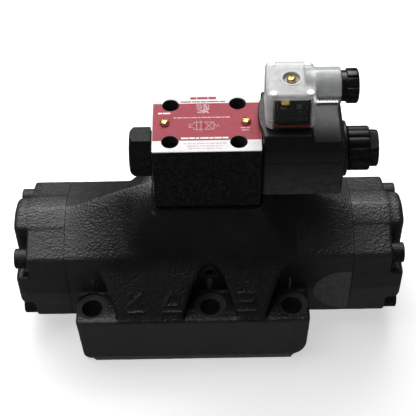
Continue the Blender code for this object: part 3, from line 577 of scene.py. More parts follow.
def clear_plastic(name="clear_plastic", cloud=0.035, rough=0.10):
    """Clear moulding: see-through face on, bright along its edges, with a frosted lid, and painted highlights
    whitening the walls and the top of the neck.
    """
    s = Shader(name, (0.20, 0.21, 0.21), rough)
    s.vary_roughness(s.noise(3.0, 2.0), rough, rough + 0.10)
    s.relief(s.noise(4.0, 2.0), 0.10, 0.4)
    s.relief(s.noise(0.5, 2.0), 0.008, 0.3)
    see = s.node("ShaderNodeBsdfTransparent")
    see.inputs["Color"].default_value = (0.965, 0.972, 0.970, 1.0)
    weight = s.node("ShaderNodeLayerWeight")
    weight.inputs["Blend"].default_value = 0.14
    s.wire(s.bump, weight.inputs["Normal"])
    haze = s.remap(s.noise(6.0, 3.0), 0.35, 0.75, cloud * 0.6, cloud * 1.4)
    lid = s.remap(s.axis("Z"), 0.1922, 0.1932, 0.0, 0.62)
    # painted reflection: the left wall is whitened by its x position
    left = s.remap(s.axis("X"), 0.0392, 0.0380, 0.0, 0.46)
    # painted reflection: the right wall is whitened the same way
    right = s.math("MINIMUM", s.remap(s.axis("X"), 0.0600, 0.0612, 0.0, 0.34),
                   s.remap(s.axis("X"), 0.0632, 0.0642, 1.0, 0.0))
    # painted highlight: the upper half of the threaded neck is whitened by height
    neck = s.math("MULTIPLY", s.remap(s.axis("X"), 0.0630, 0.0645),
                  s.remap(s.axis("Z"), 0.1880, 0.1905, 0.0, 0.55))
    # the lid's real frost, together with the painted reflections and highlight above, whitens the colour and
    # raises the white layer's share
    frost_and_painted_highlights = s.math("MAXIMUM", s.math("MAXIMUM", lid, left), s.math("MAXIMUM", right, neck))
    s.tint(s.remap(frost_and_painted_highlights, 0.05, 0.30), (0.62, 0.63, 0.63))
    haze = s.math("ADD", haze, s.math("MULTIPLY", frost_and_painted_highlights, s.remap(s.noise(3.5, 3.0), 0.3, 0.7, 0.86, 1.12)))
    share = s.math("MINIMUM", s.math("ADD", weight.outputs["Fresnel"], haze), 0.94)
    mixer = s.node("ShaderNodeMixShader")
    s.wire(share, mixer.inputs["Fac"])
    s.wire(see.outputs[0], mixer.inputs[1])
    s.wire(s.bsdf.outputs[0], mixer.inputs[2])
    s.wire(mixer.outputs[0], s.tree.nodes["Material Output"].inputs["Surface"])
    return s.mat


def laminate():
    s = Shader("board_laminate", (0.30, 0.17, 0.075), 0.42)
    s.tint(s.remap(s.noise(0.8, 2.0, 0.5, (1, 9, 1)), 0.4, 0.7), (0.22, 0.12, 0.05))
    s.vary_roughness(s.noise(1.0, 2.0), 0.36, 0.5)
    s.relief(s.noise(0.4, 2.0, 0.5, (1, 9, 1)), 0.02, 0.5)
    return s.mat


def lens():
    s = Shader("amber_lens", (0.86, 0.50, 0.10), 0.16, Emission_Strength=0.05)
    s.bsdf.inputs["Emission Color"].default_value = (0.9, 0.55, 0.1, 1)
    s.tint(s.remap(s.noise(1.2, 2.0), 0.4, 0.7), (0.93, 0.66, 0.22))
    s.vary_roughness(s.noise(0.8, 2.0), 0.12, 0.24)
    s.relief(s.noise(0.5, 2.0), 0.01, 0.3)
    return s.mat


# ---------------------------------------------------------------- main stage castings

RIDGE = ((0.0, 111.2), (36.0, 111.2), (45.0, 108.2), (62.4, 101.0), (82.6, 91.4), (92.3, 88.0), (130.0, 88.0))
ARCH = ((42.0, 16.9), (45.0, 16.0), (52.0, 12.9), (60.0, 9.3), (66.0, 5.6), (69.5, 2.4), (70.6, 0.0),
        (71.0, -6.0))


def ridge_height(t):
    """Height of the casting's spine at a distance t from the middle, its bends eased."""
    at, height = zip(*RIDGE)
    shifts = np.linspace(-3.0, 3.0, 7)
    return sum(np.interp(np.abs(t) + s, at, height) for s in shifts) / len(shifts)


def barrel_field(x, y, z, ridge=None):
    """Barrel with its sloping top, which rises and widens into the tower under the pilot pad."""
    t, w = np.abs(x), np.abs(y)
    ridge = ridge_height(t) if ridge is None else ridge
    flare = np.clip((57.0 - t) / 22.5, 0.0, 1.0) ** 1.6
    drop = ridge - CREASE_Z
    slope = drop / CREASE_Y * (1 - flare)
    top = (z - ridge + w * slope) / np.sqrt(1 + slope ** 2)
    corner_y = 24.0 + 1.6 * flare
    corner_z = ridge - drop * 24.0 / CREASE_Y * (1 - flare)
    low_y = CREASE_Y + 0.3 * flare
    ny, nz = corner_z - CREASE_Z, low_y - corner_y
    steep = ((w - low_y) * ny + (z - CREASE_Z) * nz) / np.sqrt(ny ** 2 + nz ** 2)
    roof = smax(top, steep, 0.4 + 5.0 * np.sqrt(flare))
    roof = smax(roof, z - ridge + 0.3, 5.0)
    side = smax(w - SIDE_Y, ((w - 34.2) * 5.5 + (17.0 - z) * 5.4) / 7.7, 2.0)
    return smax(smax(roof, side, 2.6), UNDER_Z - z, 2.0)


def skirt_depth(z):
    """How far out the skirt's sloping face stands at height z."""
    (y0, z0), (y1, z1) = SKIRT_FOOT, SKIRT_HEAD
    return y0 + (z - z0) * (y1 - y0) / (z1 - z0)


def skirt_field(x, y, z):
    """Sloping skirt between the base and the barrel, with a pointed pocket over each mounting hole."""
    w = np.abs(y)
    face = (w - skirt_depth(z)) * 0.742
    solid = smax(smax(face, SKIRT_X[0] - x, 3.0), x - SKIRT_X[1], 3.0)
    solid = smax(np.maximum(solid, w - BASE_Y), z - SKIRT_HEAD[1], 2.0)
    heights, widths = zip(*ARCH)
    width = np.interp(z, heights, widths)
    for x0, y0 in MOUNT_HOLES:
        outward = 34.3 - math.copysign(1.0, y0) * y
        pocket = np.maximum(np.maximum((np.abs(x - x0) - width) * 0.88, outward), BASE_TOP - z)
        solid = smax(solid, -pocket, 3.4)
    return solid


def base_field(x, y, z):
    left = -x - 86.9 + (BASE_TOP - z) * 0.045
    right = x - 64.4 + (BASE_TOP - z) * 0.033
    ends = smax(smax(left, -z, 6.0), smax(right, -z, 15.0), 1.0)
    solid = smax(ends, np.abs(y) - BASE_Y, 3.0)
    return smax(solid, z - BASE_TOP, 2.0)


def marks():
    """Raised port marks on the front skirt, as segments ((x, z), (x, z)): a cross, a triangle, two bars."""
    cross = [((-51.6, 50.2), (-43.9, 55.6)), ((-51.6, 55.6), (-43.9, 50.2))]
    triangle = [((-29.0, 50.0), (-24.2, 56.4)), ((-24.2, 56.4), (-19.4, 50.0)),
                ((-29.0, 50.0), (-19.4, 50.0))]
    level = ((-52.8, -42.6, 46.9), (-30.3, -18.0, 46.6), (18.4, 28.6, 55.4), (19.6, 27.6, 51.2),
             (17.9, 29.5, 46.9))
    return cross + triangle + [((x0, z), (x1, z)) for x0, x1, z in level]


def marks_field(x, y, z):
    out = None
    for (xa, za), (xb, zb) in marks():
        a, b = np.array((xa, -skirt_depth(za), za)), np.array((xb, -skirt_depth(zb), zb))
        ab = b - a
        h = np.clip(((x - a[0]) * ab[0] + (y - a[1]) * ab[1] + (z - a[2]) * ab[2]) / (ab @ ab), 0, 1)
        dx, dy, dz = x - a[0] - h * ab[0], y - a[1] - h * ab[1], z - a[2] - h * ab[2]
        d = np.sqrt(dx ** 2 + dy ** 2 + dz ** 2) - 0.62
        out = d if out is None else np.minimum(out, d)
    return out


def casting_field(x, y, z):
    solid = smin(barrel_field(x, y, z), skirt_field(x, y, z), 4.0)
    solid = smin(solid, base_field(x, y, z), 2.6)
    pad = np.maximum(np.abs(x) - 34.3, np.abs(y) - 26.0)
    pad = smax(pad, (np.abs(x) + np.abs(y) - 57.0) * 0.707, 3.0)
    solid = smin(solid, np.maximum(np.maximum(pad, z - PAD_Z - 1.5), 100.0 - z), 1.6)
    solid = smin(solid, marks_field(x, y, z), 0.9)
    return np.maximum(np.maximum(solid, np.abs(x) - END_X - 1.5), np.maximum(z - PAD_Z - 1.5, -1.5 - z))


def make_main_body(cast, machined, bare):
    body = moulded("main_body_casting", casting_field, (-95.0, -61.6, -3.0), (95.0, 61.6, 114.6), 1.0,
                   ((12.0, 0.10), (3.4, 0.06)))
    body.data.materials.append(cast)
    trim(body, (0, 0, 0), (0, 0, -1))
    trim(body, (0, 0, PAD_Z), (0, 0, 1))
    trim(body, (END_X, 0, 0), (1, 0, 0))
    trim(body, (-END_X, 0, 0), (-1, 0, 0))
    seats = []
    for x, y in MOUNT_HOLES:
        seats.append(drill("Z", (x, y, 0),
                           ((-1.0, 0.6, 7.3), (1.1, SEAT_Z - 0.6, 6.75), (SEAT_Z, 66.0, 10.6))))
    boolean(body, joined(seats), mat=machined)
    below = [drill("Z", (x, y, 0), ((-1.0, 3.0, 16.5), (3.0, 35.0, 11.75))) for x, y in PORTS.values()]
    below += [drill("Z", (x, y, 0), ((-1.0, 2.5, 7.8), (2.5, 20.0, 3.5))) for x, y in SIDE_PORTS.values()]
    below += [rod("Z", (x, y, 0), -1.0, 9.0, 3.75, 32) for x, y in DOWELS]
    below += [rod("Z", (x, y, 0), 97.5, 115.0, 2.9, 24) for x, y in PILOT_BOLTS]
    boolean(body, joined(below), mat=bare)
    steps, pos = [], -100.0
    for k in range(-2, 3):
        steps += [(pos, k * 23.8 - 6.5, 14.0), (k * 23.8 - 6.5, k * 23.8 + 6.5, 21.0)]
        pos = k * 23.8 + 6.5
    steps.append((pos, 100.0, 14.0))
    across = [drill("X", (0, 0, MAIN_Z), steps, 64)]
    for side, sy, sz in itertools.product((-1, 1), repeat=3):
        ends = (75.0, 100.0) if side > 0 else (-100.0, -75.0)
        across.append(rod("X", (0, sy * CAP_BOLT[0], MAIN_Z + sz * CAP_BOLT[1]), *ends, 4.7, 24))
    boolean(body, joined(across), mat=bare)
    front = [drill("Y", (0, 0, 61.0), ((-40.0, -33.9, 5.7), (-33.9, -26.6, 5.3))),
             rod("Y", (88.0, 0, 39.0), -40.0, -34.4, 20.0, 96)]
    boolean(body, joined(front), mat=machined)
    return piece(body, "main_body_casting", cast, "valve", ["main_body"], 38)


def cap_field(x, y, z):
    """Right end cover: a flange, and a cross-shaped nose between the corner notches for the screws."""
    w, h = np.abs(y), np.abs(z - MAIN_Z)
    section = barrel_field(x, y, z, 88.0)
    flange = smax(section, x - CAP_SEAT, 2.2)
    arms = smin(w - 13.7, h - 13.2, 3.0)
    nose = smax(smax(section + 0.3, arms, 1.8), x - CAP_END, 5.0)
    return np.maximum(smin(flange, nose, 2.0), (CAP_FACE - 1.5) - x)


def make_end_cap(label, side, depth, cast, machined, bare):
    wave = ((12.0, 0.10), (3.4, 0.05))
    cap = moulded(label, cap_field, (90.0, -37.0, 9.0), (128.0, 37.0, 91.0), 0.9, wave)
    cap.data.materials.append(cast)
    trim(cap, (CAP_FACE, 0, 0), (-1, 0, 0))
    if side < 0:
        cap.data.transform(Matrix.Diagonal((-1, 1, 1, 1)))
        cap.data.flip_normals()
    holes = []
    for sy, sz in itertools.product((-1, 1), repeat=2):
        centre = (0, sy * CAP_BOLT[0], MAIN_Z + sz * CAP_BOLT[1])
        steps = [(80.0, CAP_SEAT, 4.4), (CAP_SEAT, 127.0, 7.4)]
        if side < 0:
            steps = [(-b, -a, r) for a, b, r in reversed(steps)]
        holes.append(drill("X", centre, steps, 40))
    boolean(cap, joined(holes), mat=machined)
    inner = [rod("X", (0, 0, MAIN_Z), *sorted((80.0 * side, depth * side)), 16.0, 56)]
    boolean(cap, joined(inner), mat=bare)
    seal = turned([(80.0 * side, 22.4), ((CAP_FACE + 2.6) * side, 22.4), ((CAP_FACE + 2.6) * side, 18.2),
                   (80.0 * side, 18.2)], "X", (0, 0, MAIN_Z), 56)
    boolean(cap, seal, mat=bare)
    return piece(cap, f"{label}_casting", cast, "valve", [label], 38)


def socket_screw(name, centre, axis, direction, shank, length, head_r, head_h, across, mat, node,
                 body="valve"):
    """Socket-head screw: centre is under the head, which stands in the given direction along the axis."""
    e = head_r * 0.10
    profile = [(-length, 0), (-length, shank - 0.4), (-length + 0.4, shank), (-0.3, shank), (0, shank + 0.3),
               (0, head_r - 0.25), (0.25, head_r), (head_h - e, head_r),
               (head_h - e * 0.4, head_r - e * 0.35),
               (head_h, head_r - e), (head_h, 0)]
    profile = [(p * direction, r) for p, r in profile]

    def knurl(angle, pos, radius):
        grip = abs(pos) > 0.9 and abs(pos) < head_h - e and radius > head_r * 0.98 and pos * direction > 0
        return radius - (0.16 if grip and round(angle * 36 / math.pi) % 2 else 0.0)
    long_head = [(0.9 * direction, head_r), (1.0 * direction, head_r),
                 ((head_h - e - 0.1) * direction, head_r)]
    profile = profile[:7] + long_head + profile[7:]
    screw = turned(profile, axis, centre, 72, knurl)
    along = {"X": 0, "Z": 2}[axis]
    base = centre[along]
    flat = [c for d, c in enumerate(centre) if d != along]
    ends = sorted((base + direction * head_h * 0.42, base + direction * (head_h + 1)))
    boolean(screw, prism(hexagon(across, *flat), axis, *ends), mat=mat)
    return piece(screw, name, mat, body, [node], 30)


def make_cap_screws(mat):
    for side, label in ((-1, "left"), (1, "right")):
        for index, (sy, sz) in enumerate(((-1, 1), (-1, -1), (1, 1), (1, -1)), 1):
            centre = ((CAP_SEAT + 0.3) * side, sy * CAP_BOLT[0], MAIN_Z + sz * CAP_BOLT[1])
            node = f"{label}_cap_bolt_{index}"
            socket_screw(f"{node}_screw", centre, "X", side, 4.0, 40.0, 6.5, 8.0, 6.0, mat,
                         node)


def make_gallery_plug(mat):
    plug = turned([(-34.7, 0), (-34.7, 4.2), (-34.2, 4.8), (-27.2, 4.8), (-26.9, 4.5), (-26.9, 0)], "Y",
                  (0, 0, 61.0), 48)
    boolean(plug, prism(hexagon(5.4, 0, 61.0), "Y", -40.0, -31.0), mat=mat)
    return piece(plug, "gallery_plug_screw", mat, "valve", ["gallery_plug"])


# ---------------------------------------------------------------- pilot stage

def make_pilot_body(mat, inner):
    low, high = PILOT_LOW, PILOT_HIGH
    outline = rounded_rectangle(low.x, high.x, low.y, high.y, 1.0, 4)
    body = prism(outline, "Z", low.z, high.z)
    for side in (-1, 1):
        edge = side * (high.y - 1.3)
        y0, y1 = sorted((edge, side * 40.0))
        boolean(body, block((-40, y0, low.z - 2), (40, y1, low.z + 0.9)), mat=mat)
    holes = [drill("Z", (x, y, 0), ((100.0, 144.0, 2.8), (144.0, 170.0, 5.1))) for x, y in PILOT_BOLTS]
    holes += [rod("Z", (x, y, 0), 153.0, 170.0, 1.5, 16) for x, y in PLATE_SCREWS]
    boolean(body, joined(holes), mat=inner)
    steps, pos = [(-40.0, -23.7, 10.3)], -23.7
    for x in (-17.5, -8.8, 0.0, 8.7, 17.5):
        steps += [(pos, x - 2.2, 6.0), (x - 2.2, x + 2.2, 9.5)]
        pos = x + 2.2
    steps += [(pos, 24.0, 6.0), (24.0, 40.0, 11.0)]
    boolean(body, drill("X", (0, 0, PILOT_Z), steps, 40), mat=inner)
    soften(body, 0.35, 2, 40)
    piece(body, "pilot_body_block", mat, "valve", ["pilot_body"], 32)
    rim = prism(rounded_rectangle(-16.4, 10.5, 119.0, 135.0, 0.8, 3), "Y", low.y - 0.05, low.y + 0.3)
    boolean(rim, prism(rounded_rectangle(-15.8, 9.9, 119.6, 134.4, 0.4, 3), "Y", low.y - 1.0, low.y + 1.0))
    piece(rim, "pilot_body_rim", mat, "valve")


def plate_sheet(x0, x1, y0, y1, z0, z1, radius):
    sheet = prism(rounded_rectangle(x0, x1, y0, y1, radius, 5), "Z", z0, z1)
    holes = [rod("Z", (x, y, 0), z0 - 2, z1 + 2, 5.15, 48) for x, y in PILOT_BOLTS]
    holes += [rod("Z", (x, y, 0), z0 - 2, z1 + 2, 1.7, 24) for x, y in PLATE_SCREWS]
    return boolean(sheet, joined(holes))


def stroke(points, width, z0, z1, closed=False):
    """Printed line through (x, y) points, as small flat blocks."""
    made = []
    pairs = list(zip(points, points[1:] + (points[:1] if closed else [])))
    for (xa, ya), (xb, yb) in pairs[:len(points) - (0 if closed else 1)]:
        length = math.hypot(xb - xa, yb - ya)
        ux, uy = (xb - xa) / length * width / 2, (yb - ya) / length * width / 2
        made.append(prism([(xa - ux - uy, ya - uy + ux), (xa - ux + uy, ya - uy - ux),
                           (xb + ux + uy, yb + uy - ux),
                           (xb + ux - uy, yb + uy + ux)], "Z", z0, z1))
    return made


def bars(rows, length, z0, z1):
    """Rows (x from, x to, y, height) of plain bars with small gaps, where a plate would carry words."""
    made = []
    for row, (x0, x1, y, height) in enumerate(rows):
        x, k = x0, row
        while x < x1 - 0.6:
            end = min(x + length * (0.7, 1.3, 1.0, 0.6, 1.5)[k % 5], x1)
            made += stroke([(x + height / 2, y), (max(end - height / 2, x + height / 2 + 0.1), y)], height,
                           z0, z1)
            x, k = end + 0.45, k + 1
    return made


def make_nameplate(white, red, ink, red_ink):
    low, high = PLATE_LOW, PLATE_HIGH
    plate = plate_sheet(low.x, high.x, low.y, high.y, low.z, high.z - 0.05, 1.2)
    soften(plate, 0.12, 2, 40)
    piece(plate, "nameplate_foil", white, "valve", ["nameplate"])
    top = high.z - 0.02
    red_low, red_high = -14.6, 16.9
    field = plate_sheet(low.x + 0.25, high.x - 0.25, red_low, red_high, high.z - 0.05, top, 0.3)
    piece(field, "nameplate_field", red, "valve", ["nameplate"])
    # generic valve symbol: a spring box, two position boxes with flow arrows, a solenoid box
    z0, z1 = top, high.z
    cx, cy, s = -1.5, -2.4, 6.0
    pale = []
    for k in (0, 1):
        x0 = cx - s + k * s
        pale += stroke([(x0, cy - s / 2), (x0 + s, cy - s / 2), (x0 + s, cy + s / 2), (x0, cy + s / 2)], 0.34,
                       z0, z1, True)
    for dx in (1.7, 4.3):
        pale += stroke([(cx - s + dx, cy - s / 2 - 1.3), (cx - s + dx, cy + s / 2 + 1.3)], 0.3, z0, z1)
    pale += stroke([(cx + 0.9, cy - s / 2 + 0.5), (cx + s - 0.9, cy + s / 2 - 0.5)], 0.3, z0, z1)
    pale += stroke([(cx + 0.9, cy + s / 2 - 0.5), (cx + s - 0.9, cy - s / 2 + 0.5)], 0.3, z0, z1)
    pale += stroke([(cx + s, cy), (cx + s + 0.8, cy + 1.0), (cx + s + 1.6, cy - 1.0),
                    (cx + s + 2.4, cy + 1.0),
                    (cx + s + 3.2, cy - 1.0)], 0.26, z0, z1)
    pale += stroke([(cx - s - 2.8, cy - 1.4), (cx - s, cy - 1.4), (cx - s, cy + 1.4),
                    (cx - s - 2.8, cy + 1.4)],
                   0.28, z0, z1, True)
    pale += stroke([(cx - s - 2.8, cy - 1.4), (cx - s, cy + 1.4)], 0.26, z0, z1)
    # a pattern block of small squares and rows of plain bars in place of print
    for i, j in itertools.product(range(11), repeat=2):
        if (math.sin(i * 12.9898 + j * 78.233) * 43758.5453) % 1.0 > 0.42:
            x, y = -5.9 + i * 0.70, 8.3 + j * 0.70
            pale.append(prism([(x, y), (x + 0.70, y), (x + 0.70, y + 0.66), (x, y + 0.66)], "Z", z0, z1))
    pale += bars(((-19.6, 14.2, 4.6, 0.9), (20.4, 25.8, -4.6, 0.8), (20.9, 26.0, -6.6, 0.8)), 2.4, z0, z1)
    piece(joined(pale), "nameplate_symbol", ink, "valve", ["nameplate"])
    strong = bars(((-28.8, -20.6, 8.6, 1.2), (-15.0, 13.6, -12.7, 1.3)), 3.4, z0, z1)
    piece(joined(strong), "nameplate_captions", white, "valve", ["nameplate"])
    dark = bars(((-9.5, 6.0, 21.4, 2.0), (-15.5, 11.5, 18.3, 0.9)), 5.0, high.z - 0.05, z1)
    piece(joined(dark), "nameplate_heading", red, "valve", ["nameplate"])
    faint = bars(((-13.5, 11.5, -17.2, 0.8), (-11.5, 9.5, -19.2, 0.8), (-10.5, 8.5, -21.2, 0.8)), 2.2,
                 high.z - 0.05, z1)
    piece(joined(faint), "nameplate_rules", red_ink, "valve", ["nameplate"])


def cross_head_screw(name, centre, profile, recess, width, mat, node, body):
    """Domed screw with a cross recess, standing along +Z."""
    cx, cy = centre
    screw = turned(profile, "Z", (cx, cy, 0), 40)
    top = max(p for p, _ in profile)
    for a in (12.0, 102.0):
        u = Vector((math.cos(math.radians(a)), math.sin(math.radians(a))))
        v = Vector((-u.y, u.x))
        corners = [(cx + u.x * recess * s + v.x * width * t, cy + u.y * recess * s + v.y * width * t)
                   for s, t in ((1, 1), (-1, 1), (-1, -1), (1, -1))]
        boolean(screw, prism(corners, "Z", top - 1.3, top + 1.0), mat=mat)
    return piece(screw, name, mat, body, [node], 30)


def make_plate_screws(mat):
    for (x, y), label in zip(PLATE_SCREWS, ("left", "right")):
        z = PLATE_HIGH.z + 0.3
        dome = [(z + 2.15 * math.sin(a), 3.0 * math.cos(a) ** 0.8) for a in np.linspace(0.12, 1.35, 8)]
        profile = [(154.0, 0), (154.0, 1.2), (z, 1.2), (z, 2.95)] + dome + [(z + 2.18, 0)]
        cross_head_screw(f"nameplate_screw_{label}_head", (x, y), profile, 2.1, 0.5, mat,
                         f"nameplate_screw_{label}", "valve")


def make_pilot_screws(mat):
    for index, (x, y) in enumerate(PILOT_BOLTS, 1):
        node = f"pilot_bolt_{index}"
        socket_screw(f"{node}_screw", (x, y, 144.3), "Z", 1, 2.5, 44.0, 4.25, 5.0, 4.0, mat,
                     node)


def make_end_plug(mat):
    """Hexagonal end plug: the outer corners are turned off, as on a nut."""
    head = prism(hexagon(26.2, 0, PILOT_Z, 40), "X", -47.0, -34.1)
    cone = turned([(-47.2, 0), (-47.0, 12.4), (-46.5, 13.3), (-44.6, 15.3), (-30.0, 15.3), (-30.0, 0)],
                  "X", (0, 0, PILOT_Z), 96)
    boolean(head, cone, "INTERSECT", mat)
    boolean(head, rod("X", (0, 0, PILOT_Z), -36.0, -24.0, 10.0, 48), "UNION", mat)
    boolean(head, rod("X", (0, 0, PILOT_Z), -41.0, -20.0, 6.3, 40), mat=mat)
    soften(head, 0.4, 3, 25)
    return piece(head, "pilot_end_plug_hex", mat, "valve", ["pilot_end_plug"], 30)


# ---------------------------------------------------------------- solenoid

def box_field(x, y, z, low, high, k):
    """Block between two corners with all its edges eased over k."""
    sides = [low[0] - x, x - high[0], low[1] - y, y - high[1], low[2] - z, z - high[2]]
    return smax(smax(np.maximum(sides[0], sides[1]), np.maximum(sides[2], sides[3]), k),
                np.maximum(sides[4], sides[5]), k)


def coil_field(x, y, z):
    """Moulded coil cover: square block, turret for the plug with its bulging flange, and a raised tray."""
    low, high = COIL_LOW, COIL_HIGH
    half, block_top = 20.3, PILOT_Z + 20.3
    x0 = 32.9
    body = box_field(x, y, z, (x0, -half, low.z), (high.x, half, block_top), 2.6)
    turret = box_field(x, y, z, (x0, -half + 0.3, block_top - 4), (62.6, half - 0.3, high.z), 2.0)
    bulge = low.x + 4.6 * (np.minimum(np.abs(y), 19.0) / 19.0) ** 2.4
    flange = smax(np.maximum(bulge - x, x - 54.0), smax(np.abs(y) - 19.0, np.abs(z - (163.2 + high.z) / 2)
                                                     - (high.z - 163.2) / 2, 1.0), 1.2)
    tray = box_field(x, y, z, (60.0, -half, block_top - 3), (79.6, 11.2, 163.5), 1.4)
    solid = smin(smin(body, turret, 1.0), flange, 0.8)
    solid = smin(solid, tray, 0.8)
    groove = np.maximum(np.abs(z - 145.75) - 0.5, half - 0.55 - np.abs(y))
    return smax(solid, -groove, 0.5)


def make_coil_housing(mat, inner):
    body = moulded("coil_housing_moulding", coil_field, (29.0, -21.6, 115.6), (83.0, 21.6, 170.0), 0.62,
                   ((7.0, 0.03),))
    body.data.materials.append(mat)
    boolean(body, drill("X", (0, 0, PILOT_Z), ((30.0, 77.0, 17.0), (77.0, 90.0, 11.3)), 64), mat=inner)
    well = block((PLUG_C[0] - 10.3, -9.9, 163.0), (PLUG_C[0] + 10.3, 9.9, 175.0))
    boolean(body, well, mat=mat)
    boolean(body, rod("Z", (*PLUG_C, 0), 158.6, 164.0, 1.8, 24), mat=inner)
    return piece(body, "coil_housing_moulding", mat, "valve", ["coil_housing"], 40)


def make_coil_collar(mat):
    low, high = span("coil_collar")
    r = high.z - PILOT_Z
    profile = [(low.x, 8.4), (low.x, r - 0.5), (low.x + 0.2, r - 0.1), (low.x + 0.6, r), (high.x - 1.0, r),
               (high.x - 0.4, r - 0.25), (high.x - 0.1, r - 0.7), (high.x, r - 1.4), (high.x, 8.7),
               (high.x - 0.3, 8.4)]
    collar = turned(profile, "X", (0, 0, PILOT_Z), 96)
    return piece(collar, "coil_collar_ring", mat, "valve", ["coil_collar"], 30)


def make_lock_nut(mat):
    """Plastic nut: a lobed grip with a step at each end, and a hexagon with a hole for the override pin."""
    low, high = span("lock_nut")
    step = low.x + 13.9

    def lobes(angle, pos, radius):
        depth = 0.45 if radius > 12.5 else 0.0
        return radius + depth * (abs(math.cos(6 * angle)) ** 0.6 * 2 - 1)
    profile = [(low.x, 8.4), (low.x, 12.2), (low.x + 0.3, 12.9), (low.x + 1.0, 13.38), (step - 1.5, 13.38),
               (step - 0.6, 13.1), (step - 0.1, 12.55), (step, 11.9), (step, 8.4)]
    grip = turned(profile, "X", (0, 0, PILOT_Z), 144, lobes)
    head = prism(hexagon(21.5, 0, PILOT_Z, 10), "X", step - 1.0, high.x)
    cone = turned([(step - 2, 0), (step - 2, 12.2), (high.x - 1.2, 12.2), (high.x, 10.8), (high.x, 0)],
                  "X", (0, 0, PILOT_Z), 72)
    boolean(head, cone, "INTERSECT")
    boolean(grip, head, "UNION")
    boolean(grip, drill("X", (0, 0, PILOT_Z), ((80.0, 99.1, 8.4), (99.1, 110.0, 3.4)), 48), mat=mat)
    soften(grip, 0.25, 2, 30)
    return piece(grip, "lock_nut_moulding", mat, "lock_nut", ["lock_nut"], 30)


def make_manual_pin(mat):
    low, high = span("manual_pin")
    pin = turned([(low.x, 0), (low.x, 1.3), (low.x + 0.3, 1.6), (high.x - 0.5, 1.6), (high.x - 0.15, 1.35),
                  (high.x, 0.8),
                  (high.x, 0)], "X", (0, 0, PILOT_Z), 32)
    return piece(pin, "manual_pin_turned", mat, "manual_pin", ["manual_pin"])


# ---------------------------------------------------------------- connector

def frame_plate(outer, inner, z0, z1):
    ring = prism(outer, "Z", z0, z1)
    return boolean(ring, prism(inner, "Z", z0 - 2, z1 + 2))


def make_gasket(mat):
    low, high = span("connector_gasket")
    ring = frame_plate(rounded_rectangle(low.x, high.x - 2.6, low.y + 2.9, high.y - 2.9, 1.2),
                       rounded_rectangle(38.4, 60.2, -11.0, 11.0, 1.0), low.z, high.z)
    soften(ring, 0.3, 3, 30)
    return piece(ring, "connector_gasket_sheet", mat, "valve", ["connector_gasket"])


def make_pin_carrier(plate_mat, metal):
    cx, cy = PLUG_C
    plate = prism(rounded_rectangle(cx - 10.0, cx + 10.0, -9.6, 9.6, 1.2), "Z", 163.3, 167.7)
    boolean(plate, rod("Z", (cx, cy, 0), 160.0, 170.0, 1.8, 24), mat=plate_mat)
    soften(plate, 0.3, 2, 30)
    piece(plate, "pin_carrier_plate", plate_mat, "valve", ["pin_carrier"])
    blades = []
    for dx, dy in ((-6.5, 0), (6.5, 0), (0, -7.5), (0, 7.5)):
        wide, thin = 3.1, 0.42
        tip = [(-wide, 167.75), (wide, 167.75), (wide, 175.8), (wide - 0.9, 177.0), (-wide + 0.9, 177.0),
               (-wide, 175.8)]
        if dy == 0:
            blades.append(prism(tip, "X", cx + dx - thin, cx + dx + thin))
        else:
            blades.append(prism([(cx + p, q) for p, q in tip], "Y", dy - thin, dy + thin))
    blades = joined(blades)
    soften(blades, 0.12, 2, 30)
    piece(blades, "pin_carrier_blades", metal, "valve", ["pin_carrier"])


def plug_shell_field(x, y, z):
    """Outside of the clear plug: rounded box, ribbed flanks, and the round neck of the cable gland."""
    low, high = PLUG_LOW, PLUG_HIGH
    x1 = 63.0
    top = 195.6
    body = box_field(x, y, z, (low.x, low.y, low.z - 8.0), (x1, high.y, top), 2.6)
    corner = smax(np.abs(x - (low.x + x1) / 2) - (x1 - low.x) / 2, np.abs(y) - high.y, 6.0)
    body = np.maximum(body, corner)
    ribs = 0.32 * np.clip(np.cos(2 * np.pi * (z - 172.0) / 2.45) * 2.0, -1, 1)
    flank = np.minimum(np.abs(np.abs(y) - high.y), np.abs(x - low.x))
    band = np.clip((z - 172.0) / 1.0, 0, 1) * np.clip((190.5 - z) / 1.0, 0, 1) * np.clip((1.4 - flank) / 0.6,
                                                                                         0, 1)
    body = body + band * (0.32 - ribs)
    r = np.sqrt((y - GLAND[0]) ** 2 + (z - GLAND[1]) ** 2)
    neck = smax(np.maximum(r - NECK_R, 57.0 - x), x - high.x, 0.8)
    return np.maximum(smin(body, neck, 1.6), low.z - 1.5 - z)


def make_connector_housing(mat):
    """Clear shell: cavity for the terminals, threaded neck, middle boss and four corner pillars."""
    low, high = PLUG_LOW, PLUG_HIGH
    gy, gz = GLAND
    cx, cy = PLUG_C
    shell = moulded("connector_shell", plug_shell_field, (33.0, -17.0, 167.0), (79.0, 17.0, 200.4), 0.5)
    shell.data.materials.append(mat)
    trim(shell, (0, 0, low.z), (0, 0, -1))
    cavity = prism(rounded_rectangle(low.x + 2.0, 60.8, low.y + 2.0, high.y - 2.0, 1.6), "Z", low.z - 5,
                   193.4)
    boolean(shell, cavity)
    thread = [(58.0, 5.6), (64.2, 5.6), (64.2, 8.0)]
    pitch = 1.5
    for k in range(int((high.x - 65.4) / pitch)):
        x = 65.2 + pitch * k
        thread += [(x, 8.0), (x + pitch * 0.45, 8.75), (x + pitch * 0.55, 8.75)]
    thread += [(high.x + 3, 8.0)]
    boolean(shell, turned([(58.0, 0)] + thread + [(high.x + 3, 0)], "X", (0, gy, gz), 64))
    posts = []
    for sx, sy in itertools.product((low.x + 3.4, 59.4), (-1, 1)):
        posts.append(rod("Z", (sx, sy * (high.y - 3.4), 0), low.z + 0.6, 193.9, 1.75, 32))
    boolean(shell, joined(posts), "UNION")
    boolean(shell, turned([(192.7, 0), (192.7, 6.2), (193.0, 6.6), (194.4, 6.6), (194.4, 0)], "Z",
                          (cx, cy, 0), 48),
            "UNION")
    boolean(shell, drill("Z", (cx, cy, 0), ((180.0, PLUG_RECESS, 1.8), (PLUG_RECESS, 200.0, 5.0)), 48))
    return piece(shell, "connector_shell", mat, "connector", ["connector_housing"], 30)


